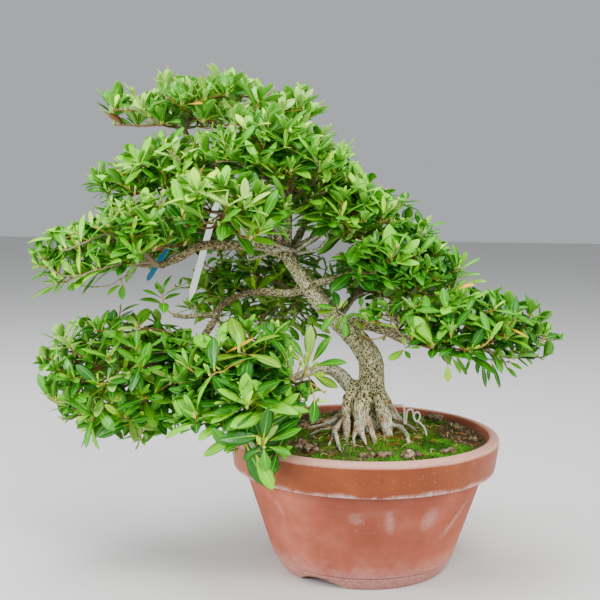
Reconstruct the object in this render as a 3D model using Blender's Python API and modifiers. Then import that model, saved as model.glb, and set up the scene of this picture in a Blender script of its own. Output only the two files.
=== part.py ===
"""An azalea bonsai in a low round terracotta pot.

Frame: metres, Z up, the origin on the floor under the middle of the whole
object. The trunk rises from the middle of the pot and bends to the left (-X),
and the pot's foot stands on Z = 0. Sizes below are in millimetres from the pot's
own axis, and are turned into metres where a mesh is made. The axis stands at
POT_AXIS in the frame.
"""
import math

import bmesh
import bpy
import numpy as np
from mathutils import Matrix, Vector

MM = 0.001
GAP = 0.3            # clear space kept between pieces that touch
GOLDEN = math.radians(137.508)
SEED = 9
POT_AXIS = (81.0, -4.0, 0.0)

# ---------------------------------------------------------------- the pot
POT_STEPS = 40
RIM_RADIUS = 135.0   # widest point of the collar
CREST_RADIUS, CREST_Z = 127.5, 136.3
COLLAR_FOOT_RADIUS, COLLAR_FOOT_Z = 130.7, 102.2
WALL_TOP_RADIUS = 120.6
WALL_FOOT_RADIUS, WALL_FOOT_Z = 91.5, 13.6
GROOVE_RADIUS, GROOVE_Z = 90.0, 12.7
FOOT_RADIUS = 82.0
FOOT_INNER_RADIUS = 74.0
RECESS = 8.6         # how far the underside stands above the floor
FLOOR_TOP = 15.0
DRAIN_RADIUS = 11.0
INNER_WALL = ((123.6, 130.0), (112.5, 98.0), (84.0, FLOOR_TOP))
NOTCHES = (-119.0, 1.0, 121.0)   # bearings of the three crescents in the foot, degrees from +X
NOTCH_WIDTH, NOTCH_HEIGHT = 45.0, 8.0

# ---------------------------------------------------------------- the soil
SOIL_TOP = 137.0     # the level mound round the trunk
MOUND_RADIUS = 54.0
SOIL_EDGE_Z = 127.5

# ---------------------------------------------------------------- trunk, roots and boughs
# Every limb is a path of (x, y, z, radius).
TRUNK = (
    (6, 0, 130, 13.0), (6, 0, 150, 13.5), (6, 0, 168, 15.5), (5, 0, 182, 14.6), (4, -1, 194, 13.6),
    (1, -4, 208, 12.8), (-13, -9, 229, 11.2), (-36, -10, 252, 10.0), (-54, -9, 273, 8.9),
    (-66, -7, 290, 8.0), (-74, -4, 303, 7.9), (-79, -1, 313, 9.0), (-81, 0, 320, 7.0),
)
ROOTS = (
    ((2, -5, 176, 9.0), (0, -17, 162, 8.0), (-2, -32, 147, 6.4), (3, -48, 130, 5.0)),
    ((-6, -4, 178, 6.0), (-17, -12, 167, 5.6), (-20, -25, 152, 4.8), (-17, -37, 130, 4.0)),
    ((11, -4, 176, 8.0), (17, -14, 163, 7.4), (23, -24, 148, 6.4), (28, -33, 130, 5.4)),
    ((10, 3, 170, 6.0), (24, 5, 157, 4.8), (36, 9, 146, 3.4), (47, 14, 130, 2.4)),
    ((0, 4, 168, 6.0), (-16, 16, 154, 4.6), (-32, 28, 144, 3.4), (-50, 40, 130, 2.4)),
    ((0, 0, 164, 5.4), (-16, 3, 153, 4.2), (-29, 8, 144, 3.2), (-42, 13, 130, 2.4)),
    ((6, 4, 172, 8.0), (8, 19, 157, 6.4), (9, 32, 146, 5.0), (10, 43, 130, 4.0)),
)
TRUNK_SIDES, ROOT_SIDES = 12, 6
LIMB_SIDES, LIMB_STEP = 6, 18.0
BOUGHS = {
    "left_bough": (
        (-78, -2, 313, 6.0), (-103, -14, 321, 5.2), (-119, -22, 322, 4.9), (-157, -40, 322, 4.3),
        (-179, -45, 312, 3.8), (-198, -48, 303, 3.3)),
    "apex_bough": (
        (-79, 0, 316, 5.4), (-106, 10, 344, 4.6), (-128, 14, 368, 4.4), (-147, 20, 387, 4.1),
        (-163, 32, 406, 3.8), (-185, 54, 425, 3.3), (-193, 64, 436, 3.1)),
    "crown_bough": ((-79, -1, 316, 4.4), (-78, -4, 342, 3.6), (-76, -7, 366, 3.0)),
    "shoulder_bough": (
        (-78, 0, 315, 4.0), (-61, -1, 324, 3.4), (-45, -2, 334, 3.0), (-30, -3, 345, 2.6)),
    "back_top_bough": (
        (-77, 0, 315, 4.0), (-68, 22, 332, 3.5), (-61, 42, 350, 3.0)),
    "back_left_bough": (
        (-79, 0, 314, 4.0), (-102, 22, 317, 3.6), (-132, 38, 319, 3.1), (-152, 46, 321, 2.8)),
    "front_bough": ((-108, -16, 321, 3.6), (-113, -30, 331, 3.0), (-119, -43, 343, 2.6)),
    "second_bough": (
        (-126, 14, 366, 3.8), (-144, 36, 377, 3.2), (-162, 44, 384, 2.8)),
    "right_upper_bough": (
        (-62, -8, 284, 4.4), (-48, -5, 285, 3.6), (-32, -4, 289, 3.1), (-14, -5, 297, 2.7)),
    "right_bough": (
        (-24, -10, 241, 6.4), (-9, -10, 248, 5.6), (6, -12, 244, 5.0), (22, -19, 239, 4.4),
        (35, -25, 233, 3.8), (46, -28, 231, 3.4)),
    "right_stub": ((27, -21, 237, 3.0), (28, -24, 250, 2.7), (25, -26, 262, 2.2)),
    "low_front_bough": (
        (0, 0, 178, 9.0), (-14, 0, 180, 8.0), (-25, -2, 192, 7.0), (-37, -8, 199, 6.0),
        (-50, -22, 200, 4.8), (-62, -40, 198, 3.9), (-70, -56, 197, 3.4)),
    "low_left_bough": (
        (-60, -7, 282, 4.6), (-76, 4, 273, 3.8), (-105, 11, 273, 3.4), (-126, 7, 270, 3.2),
        (-145, 0, 260, 3.1), (-152, -8, 244, 3.0), (-163, -15, 228, 2.8)),
    "spur_bough": (
        (-150, -5, 251, 2.6), (-164, -14, 251, 2.2), (-179, -24, 251, 2.0), (-188, -30, 253, 1.9)),
    "back_low_bough": ((-52, -9, 271, 4.2), (-60, 12, 273, 3.4), (-72, 30, 273, 2.9)),
    "back_right_bough": (
        (-30, -9, 247, 4.4), (-22, 16, 257, 3.6), (-12, 36, 267, 3.1), (-3, 50, 273, 2.8)),
}

# ---------------------------------------------------------------- the masses of foliage
# Each keeps to an ellipsoid: its middle, its half-lengths and how many degrees its right end dips.
# `low` is how far down the ellipsoid, as a share of its half-height, twig tips may stand.
MASSES = {
    "apex_leaves": dict(bough="apex_bough", at=(-172, 88, 462), reach=(132, 84, 50), lean=0, tips=12),
    "second_leaves": dict(bough="second_bough", at=(-196, 34, 396), reach=(96, 80, 50), lean=-12, tips=9),
    "crown_leaves": dict(bough="crown_bough", at=(-92, -14, 406), reach=(86, 74, 56), lean=10, tips=9),
    "shoulder_leaves": dict(bough="shoulder_bough", at=(-16, -6, 362), reach=(70, 66, 54), lean=36, tips=7),
    "left_leaves": dict(bough="left_bough", at=(-244, -46, 330), reach=(104, 66, 56), lean=-18, tips=10),
    "front_leaves": dict(bough="front_bough", at=(-130, -60, 358), reach=(76, 60, 52), lean=0, tips=6),
    "right_leaves": dict(bough="right_upper_bough", at=(30, -12, 314), reach=(84, 70, 56), lean=26, tips=9),
    "right_low_leaves": dict(bough="right_bough", at=(86, -32, 250), reach=(116, 64, 54), lean=6, tips=10),
    "low_left_leaves": dict(bough="low_left_bough", at=(-248, -16, 188), reach=(112, 72, 74), lean=-6, tips=12, low=-0.6),
    "low_front_leaves": dict(bough="low_front_bough", at=(-104, -98, 184), reach=(90, 64, 88), lean=0, tips=10, low=-0.72),
    "spur_leaves": dict(bough="spur_bough", at=(-202, -40, 268), reach=(48, 44, 34), lean=0, tips=2),
    "back_low_leaves": dict(bough="back_low_bough", at=(-104, 66, 258), reach=(92, 62, 54), lean=0, tips=5),
    "back_right_leaves": dict(bough="back_right_bough", at=(34, 82, 286), reach=(86, 60, 64), lean=14, tips=6),
    "back_left_leaves": dict(bough="back_left_bough", at=(-206, 74, 322), reach=(86, 60, 54), lean=0, tips=5),
    "back_top_leaves": dict(bough="back_top_bough", at=(-36, 86, 380), reach=(86, 60, 58), lean=24, tips=5),
}
LEAF_LENGTH, LEAF_WIDTH, LEAF_THICKNESS = 50.0, 22.0, 1.1
LEAVES_PER_TIP = 5
LEAF_STEP = 1.2      # distance between two leaves along a twig
TWIG_RADIUS = 1.3    # at a tip
TWIG_STEP = 24.0     # distance between two places where a twig can branch
BETWEEN = 0.035      # how much nearer its own middle a mass stays than any other's
LEAF_CLEAR = 4.0     # distance between the outer parts of two leaves
TWIG_CLEAR = 4.6     # from the middle of a twig to a limb
LEAF_LIMB_CLEAR = 2.6
LEAF_TRIES = tuple((turn_by, shrink) for shrink in (1.0, 0.85, 0.7) for turn_by in (0, -18, 18, -34, 34))

# ---------------------------------------------------------------- labels and tie
LABEL_WIDTH, LABEL_THICKNESS = 13.0, 0.8
LABEL_LOOP = 6.2     # inner radius of the loop that goes round the bough
LABELS = {
    "white_label": dict(hang=(-146, 19, 386), tip=(-178, 4, 264)),
    "blue_label": dict(hang=(-155, 26, 396), tip=(-220, -2, 284)),
}
TIE_WIRE = (
    (22, -8, 162), (30, -10, 163), (38, -9, 163), (41, -10, 158), (41, -11, 147), (43, -13, 140),
    (46, -13, 147), (47, -12, 158), (50, -11, 161), (53, -12, 155), (55, -14, 148), (59, -14, 156),
    (64, -14, 158), (68, -15, 152), (70, -16, 144), (71, -17, 139.6),
)
TIE_RADIUS = 1.1

COLOURS = {
    "bark": (0.30, 0.26, 0.18), "leaf": (0.10, 0.30, 0.05), "terracotta": (0.52, 0.20, 0.11),
    "soil": (0.09, 0.11, 0.04), "white": (0.85, 0.86, 0.86), "blue": (0.05, 0.25, 0.55),
}


# ---------------------------------------------------------------- helpers
def clear_scene():
    for obj in list(bpy.data.objects):
        bpy.data.objects.remove(obj, do_unlink=True)


def collection(name, hidden=False):
    made = bpy.data.collections.new(name)
    bpy.context.scene.collection.children.link(made)
    made.hide_render = hidden
    return made


def material(name, colour, roughness):
    made = bpy.data.materials.new(name)
    made.use_nodes = True
    shader = made.node_tree.nodes["Principled BSDF"]
    shader.inputs["Base Color"].default_value = (*colour, 1.0)
    shader.inputs["Roughness"].default_value = roughness
    return made


def add_object(name, mesh, into, colour=None, roughness=0.6):
    obj = bpy.data.objects.new(name, mesh)
    into.objects.link(obj)
    if colour is not None:
        mesh.materials.append(material(name + "_material", colour, roughness))
    return obj


def evaluated_mesh(obj):
    bpy.context.view_layer.update()
    graph = bpy.context.evaluated_depsgraph_get()
    return bpy.data.meshes.new_from_object(obj.evaluated_get(graph))


def apply_modifiers(obj):
    mesh = evaluated_mesh(obj)
    obj.modifiers.clear()
    obj.data = mesh


def remove_objects(objects):
    for obj in list(objects):
        bpy.data.objects.remove(obj, do_unlink=True)


def boolean(obj, others, operation, solver):
    """Joins or cuts obj with every object of a collection at once, and applies it."""
    step = obj.modifiers.new("join", "BOOLEAN")
    step.operation = operation
    step.operand_type = "COLLECTION"
    step.collection = others
    step.solver = solver
    apply_modifiers(obj)


def keep_largest_body(obj):
    """Drops loose scraps and fills sealed hollows: only the body with most faces stays."""
    shape = bmesh.new()
    shape.from_mesh(obj.data)
    bmesh.ops.remove_doubles(shape, verts=shape.verts, dist=2e-6)
    left = set(shape.faces)
    bodies = []
    while left:
        stack = [left.pop()]
        body = []
        while stack:
            face = stack.pop()
            body.append(face)
            for edge in face.edges:
                for other in edge.link_faces:
                    if other in left:
                        left.remove(other)
                        stack.append(other)
        bodies.append(body)
    bodies.sort(key=len)
    for body in bodies[:-1]:
        bmesh.ops.delete(shape, geom=body, context="FACES")
    loose = [vert for vert in shape.verts if not vert.link_faces]
    bmesh.ops.delete(shape, geom=loose, context="VERTS")
    shape.to_mesh(obj.data)
    shape.free()


def smooth_path(points, step):
    """A Catmull-Rom curve through the points, read about every `step` millimetres."""
    points = np.array(points, float)
    padded = np.vstack([2 * points[0] - points[1], points, 2 * points[-1] - points[-2]])
    made = [points[0]]
    for before, a, b, after in zip(padded[:-3], padded[1:-2], padded[2:-1], padded[3:]):
        count = max(1, round(np.linalg.norm((b - a)[:3]) / step))
        for t in np.arange(1, count + 1) / count:
            made.append(0.5 * (2 * a + (b - before) * t + (2 * before - 5 * a + 4 * b - after) * t**2
                               + (3 * a - before - 3 * b + after) * t**3))
    return np.array(made)


def ring_profile(sides, into):
    """A regular polygon of unit radius, which a tube is swept with."""
    profile = bpy.data.curves.new(f"ring_{sides}", "CURVE")
    spline = profile.splines.new("POLY")
    spline.points.add(sides - 1)
    spline.use_cyclic_u = True
    for k, point in enumerate(spline.points):
        turn = 2 * math.pi * k / sides
        point.co = (math.cos(turn), math.sin(turn), 0, 1)
    return add_object(profile.name, profile, into)


def tube_mesh(name, paths, sides, into):
    """Closed tubes along paths of (x, y, z, radius), as one mesh."""
    profile = ring_profile(sides, into)
    curve = bpy.data.curves.new(name, "CURVE")
    curve.dimensions = "3D"
    curve.bevel_mode = "OBJECT"
    curve.bevel_object = profile
    curve.use_fill_caps = True
    curve.twist_mode = "MINIMUM"
    for path in paths:
        spline = curve.splines.new("POLY")
        spline.points.add(len(path) - 1)
        for point, (x, y, z, radius) in zip(spline.points, path):
            point.co = (x * MM, y * MM, z * MM, 1)
            point.radius = radius * MM
    holder = add_object(name + "_path", curve, into)
    mesh = evaluated_mesh(holder)
    remove_objects([holder, profile])
    shape = bmesh.new()
    shape.from_mesh(mesh)
    bmesh.ops.remove_doubles(shape, verts=shape.verts, dist=1e-7)
    bmesh.ops.recalc_face_normals(shape, faces=shape.faces)
    shape.to_mesh(mesh)
    shape.free()
    mesh.name = name
    mesh.materials.clear()
    return mesh


def separate_bodies(mesh, name, into):
    """Each closed body of a mesh as an object of its own."""
    shape = bmesh.new()
    shape.from_mesh(mesh)
    left = set(shape.verts)
    made = []
    while left:
        stack = [left.pop()]
        verts = list(stack)
        while stack:
            for edge in stack.pop().link_edges:
                for vert in edge.verts:
                    if vert in left:
                        left.remove(vert)
                        stack.append(vert)
                        verts.append(vert)
        index = {vert: k for k, vert in enumerate(verts)}
        faces = {face for vert in verts for face in vert.link_faces}
        body = bpy.data.meshes.new(f"{name}_{len(made)}")
        body.from_pydata([vert.co for vert in verts], [],
                         [[index[vert] for vert in face.verts] for face in faces])
        made.append(add_object(body.name, body, into))
    shape.free()
    return made


def turned_mesh(name, profile):
    """The edges of a profile of (radius, height), ready for a Screw."""
    mesh = bpy.data.meshes.new(name)
    closed = profile[0][0] > 0
    edges = [(k, k + 1) for k in range(len(profile) - 1)]
    if closed:
        edges.append((len(profile) - 1, 0))
    mesh.from_pydata([(r * MM, 0, z * MM) for r, z in profile], edges, [])
    return mesh


def turn(obj, steps):
    screw = obj.modifiers.new("turn", "SCREW")
    screw.axis = "Z"
    screw.steps = steps
    screw.render_steps = steps
    screw.use_merge_vertices = True
    screw.merge_threshold = 1e-5
    return screw


# ---------------------------------------------------------------- pot and soil
def pot_profile():
    """Down the outer side from the crest, in under the foot, and up the inner side."""
    return (
        (CREST_RADIUS, CREST_Z), (RIM_RADIUS - 1.4, 133.6), (RIM_RADIUS, 131.2),
        (COLLAR_FOOT_RADIUS, COLLAR_FOOT_Z + 1.4), (COLLAR_FOOT_RADIUS - 1.4, COLLAR_FOOT_Z),
        (WALL_TOP_RADIUS, COLLAR_FOOT_Z - 0.6), (WALL_FOOT_RADIUS, WALL_FOOT_Z), (GROOVE_RADIUS, GROOVE_Z),
        (FOOT_RADIUS, 1.0), (FOOT_RADIUS - 1.0, 0), (FOOT_INNER_RADIUS + 1.0, 0),
        (FOOT_INNER_RADIUS, 1.0), (FOOT_INNER_RADIUS - 1.0, RECESS), (DRAIN_RADIUS, RECESS),
        (DRAIN_RADIUS, FLOOR_TOP), INNER_WALL[2], INNER_WALL[1], INNER_WALL[0], (CREST_RADIUS - 2.6, CREST_Z - 1.2),
    )


def make_pot(into, cutters):
    pot = add_object("pot", turned_mesh("pot", pot_profile()), into, COLOURS["terracotta"], 0.75)
    turn(pot, POT_STEPS)
    radius = (NOTCH_WIDTH**2 / 4 + NOTCH_HEIGHT**2) / (2 * NOTCH_HEIGHT)
    length = 40.0
    middle = (FOOT_INNER_RADIUS + FOOT_RADIUS) / 2
    for number, bearing in enumerate(NOTCHES):
        shape = bmesh.new()
        bmesh.ops.create_cone(shape, cap_ends=True, segments=40, radius1=radius * MM, radius2=radius * MM,
                              depth=length * MM)
        place = (Matrix.Rotation(math.radians(bearing), 4, "Z")
                 @ Matrix.Translation(Vector((middle, 0, NOTCH_HEIGHT - radius)) * MM)
                 @ Matrix.Rotation(math.radians(90), 4, "Y"))
        bmesh.ops.transform(shape, matrix=place, verts=shape.verts)
        mesh = bpy.data.meshes.new(f"notch_{number}")
        shape.to_mesh(mesh)
        shape.free()
        add_object(mesh.name, mesh, cutters).display_type = "WIRE"
    notch = pot.modifiers.new("notches", "BOOLEAN")
    notch.operation = "DIFFERENCE"
    notch.operand_type = "COLLECTION"
    notch.collection = cutters
    notch.solver = "EXACT"


def make_soil(into):
    """Fills the pot to the mound, the gap clear of the inner wall."""
    (r_top, z_top), (r_mid, z_mid), (r_low, z_low) = INNER_WALL
    share = (SOIL_EDGE_Z - z_mid) / (z_top - z_mid)
    edge = r_mid + (r_top - r_mid) * share
    profile = (
        (0, SOIL_TOP), (MOUND_RADIUS, SOIL_TOP), (edge - 1.5, SOIL_EDGE_Z + 0.6), (edge - GAP - 0.1, SOIL_EDGE_Z),
        (r_mid - GAP - 0.1, z_mid), (r_low - GAP - 0.2, z_low + GAP), (0, z_low + GAP),
    )
    soil = add_object("soil", turned_mesh("soil", profile), into, COLOURS["soil"], 0.95)
    turn(soil, POT_STEPS)


# ---------------------------------------------------------------- trunk and boughs
def add_limb(name, path, sides, into, spare, wider=0.0):
    """A tube along a path, `wider` all round, measured on its flats."""
    path = path + (0, 0, 0, wider / math.cos(math.pi / sides))
    return add_object(name, tube_mesh(name, [path], sides, spare), into)


def trunk_limbs(into, spare, wider=0.0):
    """The bole and its surface roots."""
    add_limb("bole", smooth_path(TRUNK, 13), TRUNK_SIDES, into, spare, wider)
    for number, root in enumerate(ROOTS):
        add_limb(f"root_{number}", smooth_path(root, 14), ROOT_SIDES, into, spare, wider)


def make_trunk(into, spare):
    """The bole joined to its surface roots and cut flat at the ground."""
    pieces = collection("trunk_pieces", hidden=True)
    trunk_limbs(pieces, spare)
    trunk = add_object("trunk", pieces.objects["bole"].data, into, COLOURS["bark"], 0.85)
    remove_objects([pieces.objects["bole"]])
    boolean(trunk, pieces, "UNION", "EXACT")
    remove_objects(pieces.objects)
    ground = bpy.data.meshes.new("ground")
    shape = bmesh.new()
    bmesh.ops.create_cube(shape, size=0.4)
    bmesh.ops.translate(shape, verts=shape.verts, vec=(0, 0, (SOIL_TOP + GAP) * MM - 0.2))
    shape.to_mesh(ground)
    shape.free()
    add_object("ground", ground, pieces)
    boolean(trunk, pieces, "DIFFERENCE", "EXACT")
    remove_objects(pieces.objects)
    keep_largest_body(trunk)


def make_boughs(into, spare):
    """Tapering limbs, each cut the gap clear of the trunk and of every limb made before it."""
    cutters = collection("limb_cutters", hidden=True)
    trunk_limbs(cutters, spare, GAP)
    for name, points in BOUGHS.items():
        path = smooth_path(points, LIMB_STEP)
        bough = add_limb(name, path, LIMB_SIDES, into, spare)
        bough.data.materials.append(material(name + "_material", COLOURS["bark"], 0.85))
        boolean(bough, cutters, "DIFFERENCE", "EXACT")
        keep_largest_body(bough)
        add_limb(name + "_cutter", path, LIMB_SIDES, cutters, spare, GAP)
    remove_objects(cutters.objects)


# ---------------------------------------------------------------- the rule of growth
def unit(vector):
    return vector / np.linalg.norm(vector, axis=-1, keepdims=True)


def normalised(mass, points):
    """Distance from the middle of a mass's space, 1 at its skin."""
    lean = math.radians(mass["lean"])
    x, y, z = np.moveaxis(np.asarray(points, float) - mass["at"], -1, 0)
    along = math.cos(lean) * x - math.sin(lean) * z
    across = math.sin(lean) * x + math.cos(lean) * z
    a, b, c = mass["reach"]
    return np.sqrt((along / a) ** 2 + (y / b) ** 2 + (across / c) ** 2)


def in_own_space(name, points):
    own = normalised(MASSES[name], points)
    others = np.min([normalised(other, points) for key, other in MASSES.items() if key != name], axis=0)
    return bool(np.all(own < 1) and np.all(own + BETWEEN < others))


def clear_of_limbs(points, own_limb, spare):
    """Whether every point keeps clear of the limbs, the labels and the pot."""
    for name, line in LIMB_LINES.items():
        if name == own_limb:
            line = line[:-1]
        start, end = line[:-1, :3], line[1:, :3]
        radius = np.maximum(line[:-1, 3], line[1:, 3])
        along = end - start
        t = np.einsum("pki,ki->pk", points[:, None] - start, along) / np.einsum("ki,ki->k", along, along)
        nearest = start + np.clip(t, 0, 1)[..., None] * along
        if (np.linalg.norm(points[:, None] - nearest, axis=-1) < radius + spare).any():
            return False
    from_axis = np.hypot(points[:, 0], points[:, 1])
    over_pot = from_axis < RIM_RADIUS + 4
    return not (over_pot & (points[:, 2] < CREST_Z + 4)).any()


def tip_targets(name, rng):
    """Evenly spread places for the twig tips: each is the best of many tries at keeping its distance."""
    mass = MASSES[name]
    lean = math.radians(mass["lean"])
    turn_back = np.array([[math.cos(lean), 0, math.sin(lean)], [0, 1, 0], [-math.sin(lean), 0, math.cos(lean)]])
    chosen = []
    for _ in range(mass["tips"]):
        tries = unit(rng.normal(size=(260, 3))) * rng.uniform(0.3, 0.72, (260, 1))
        tries = tries[tries[:, 2] > mass.get("low", -0.45)] * mass["reach"]
        tries = tries @ turn_back.T + mass["at"]
        own = normalised(mass, tries)
        others = np.min([normalised(other, tries) for key, other in MASSES.items() if key != name], axis=0)
        tries = tries[own + 0.2 < others]
        if not len(tries):
            break
        if chosen:
            apart = np.linalg.norm(tries[:, None] - np.array(chosen), axis=-1).min(axis=1)
        else:
            apart = np.linalg.norm(tries - BOUGH_ENDS[mass["bough"]][0], axis=1)
        chosen.append(tries[apart.argmax()])
    return np.array(chosen)


def twig_to(target, origin, rng):
    """The places of one twig between a branching place and its tip, sagging a little on the way."""
    count = max(1, round(np.linalg.norm(target - origin) / TWIG_STEP))
    sag = rng.normal(size=3) * 0.9 * count**0.5
    sag[2] = -abs(sag[2]) - 0.6 * count
    t = np.arange(1, count + 1)[:, None] / count
    return origin + (target - origin) * t + sag * np.sin(math.pi * t)


def twig_fits(name, origin, places):
    """Whether a twig keeps to its mass's space and clear of every limb."""
    line = np.vstack([origin, places])
    shares = np.arange(1, 6)[:, None, None] / 5
    samples = (line[:-1] + (line[1:] - line[:-1]) * shares).reshape(-1, 3)
    return in_own_space(name, samples) and clear_of_limbs(samples, MASSES[name]["bough"], TWIG_CLEAR)


def grow(name, root, heading, targets, rng):
    """A branching skeleton. Each tip, nearest first, joins the place where its twig and the way
    back to the root are together shortest and where it need not turn sharply."""
    first = root + heading * TWIG_STEP * 0.5
    places, parents, way, headings = [root, first], [-1, 0], [0.0, TWIG_STEP * 0.5], [heading, heading]
    tips = []
    for target in sorted(targets, key=lambda t: np.linalg.norm(t - root)):
        here = np.array(places[1:])
        gap = np.linalg.norm(target - here, axis=1)
        bend = 1 - np.einsum("ki,ki->k", unit(target - here), np.array(headings[1:]))
        cost = gap * (1 + 0.55 * bend) + 0.3 * np.array(way[1:])
        for start in (1 + np.argsort(cost))[:8]:
            twig = twig_to(target, places[start], rng)
            if twig_fits(name, places[start], twig):
                break
        else:
            continue
        at = start
        for place in twig:
            headings.append(unit(place - places[at]))
            way.append(way[at] + np.linalg.norm(place - places[at]))
            places.append(place)
            parents.append(at)
            at = len(places) - 1
        tips.append(at)
    return np.array(places), parents, np.array(headings), tips


def twig_paths(places, parents, tips):
    """The skeleton as tapering chains: the load of tips a place carries gives its radius."""
    load = np.zeros(len(places))
    for tip in tips:
        at = tip
        while at >= 0:
            load[at] += 1
            at = parents[at]
    radius = TWIG_RADIUS * np.maximum(load, 1) ** 0.42
    children = {}
    for place, parent in enumerate(parents):
        children.setdefault(parent, []).append(place)
    chains = []
    starts = [(0, None)]
    while starts:
        at, stem = starts.pop()
        chain = [] if stem is None else [(*places[stem], min(radius[at], radius[stem] * 0.8))]
        while True:
            chain.append((*places[at], radius[at]))
            onward = sorted(children.get(at, ()), key=lambda c: -load[c])
            if not onward:
                break
            starts += [(other, at) for other in onward[1:]]
            at = onward[0]
        chains.append(np.array(chain))
    return chains


def leaf_points(base, direction, facing, length):
    """A blade of six points: an upright root edge, two wide points, a ridge point and the tip."""
    side = unit(np.cross(direction, facing))
    normal = np.cross(side, direction)
    scale = length / LEAF_LENGTH
    half = LEAF_WIDTH / 2 * scale
    thick = LEAF_THICKNESS / 2
    wide = base + direction * length * 0.6
    return np.array([
        base + normal * thick * 0.9, base - normal * thick * 0.9,
        wide + side * half - normal * 1.2, wide - side * half - normal * 1.2,
        wide + normal * thick * 2, base + direction * length - normal * 2.0,
    ])


def leaf_mesh(name, points):
    shape = bmesh.new()
    for point in points:
        shape.verts.new(point * MM)
    bmesh.ops.convex_hull(shape, input=shape.verts)
    bmesh.ops.recalc_face_normals(shape, faces=shape.faces)
    mesh = bpy.data.meshes.new(name)
    shape.to_mesh(mesh)
    shape.free()
    return mesh


def leaf_samples(points):
    root, left, right, ridge, tip = points[:2].mean(axis=0), points[2], points[3], points[4], points[5]
    return np.array([
        root + (ridge - root) * 0.35, root + (ridge - root) * 0.7, ridge, left, right, tip,
        (left + tip) / 2, (right + tip) / 2, (left + root) / 2, (right + root) / 2,
    ])


def clear_of_leaves(samples, taken):
    """Whether the outer part of a leaf keeps away from every leaf made before it."""
    if not taken:
        return True
    others = np.concatenate([other[1:] for other in taken])
    return np.linalg.norm(samples[1:, None] - others, axis=-1).min() > LEAF_CLEAR


def tip_leaves(name, tip, heading, taken, rng):
    """Leaves in a spiral round the end of a twig. The lower ones spread and the last ones stand up,
    and one that has no room is turned, then made shorter, then left out."""
    outward = unit(tip - MASSES[name]["at"])
    up = unit(0.8 * outward + 0.4 * heading + (0, 0, 0.5))
    across = unit(np.cross(up, (0.31, 0.95, 0.05)))
    other = np.cross(up, across)
    turned = rng.uniform(0, 2 * math.pi)
    made = []
    for k in range(LEAVES_PER_TIP):
        spin = turned + k * GOLDEN + rng.normal() * 0.12
        spread = 80 - 36 * k / (LEAVES_PER_TIP - 1) + rng.normal() * 5
        around = math.cos(spin) * across + math.sin(spin) * other
        base = tip - heading * (LEAF_STEP * (LEAVES_PER_TIP - k) - 0.3)
        share = rng.uniform(0.92, 1.1)
        for turn_by, shrink in LEAF_TRIES:
            tilt = math.radians(spread + turn_by)
            direction = unit(math.cos(tilt) * up + math.sin(tilt) * around)
            points = leaf_points(base, direction, up, LEAF_LENGTH * share * shrink)
            samples = leaf_samples(points)
            if (in_own_space(name, samples) and clear_of_limbs(samples, None, LEAF_LIMB_CLEAR)
                    and clear_of_leaves(samples, taken)):
                made.append(points)
                taken.append(samples)
                break
    return made


def make_mass(name, into, spare, number):
    """One mass: its twigs joined to its leaves as one body."""
    mass = MASSES[name]
    rng = np.random.default_rng(SEED + number)
    end, heading = BOUGH_ENDS[mass["bough"]]
    targets = tip_targets(name, rng)
    places, parents, headings, tips = grow(name, end + heading * GAP, heading, targets, rng)
    leaves, taken = [], []
    for tip in tips:
        leaves += tip_leaves(name, places[tip], headings[tip], taken, rng)
    chains = [chain for chain in twig_paths(places, parents, tips) if len(chain) > 1]
    bodies = separate_bodies(tube_mesh(name + "_twig", chains, 3, spare), name + "_twig", spare)
    stem = min(bodies, key=lambda obj: min((vert.co - Vector(end * MM)).length for vert in obj.data.vertices))
    pieces = collection(name + "_pieces", hidden=True)
    for body in bodies:
        if body is not stem:
            spare.objects.unlink(body)
            pieces.objects.link(body)
    for k, points in enumerate(leaves):
        mesh = leaf_mesh(f"{name}_leaf_{k}", points)
        add_object(mesh.name, mesh, pieces)
    foliage = add_object(name, stem.data, into, COLOURS["leaf"], 0.45)
    remove_objects([stem])
    boolean(foliage, pieces, "UNION", UNION_SOLVER)
    remove_objects(pieces.objects)
    bpy.data.collections.remove(pieces)
    keep_largest_body(foliage)
    print(f"{name}: {len(tips)} tips, {len(leaves)} leaves, {len(foliage.data.polygons)} faces")
    return len(leaves)


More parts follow.
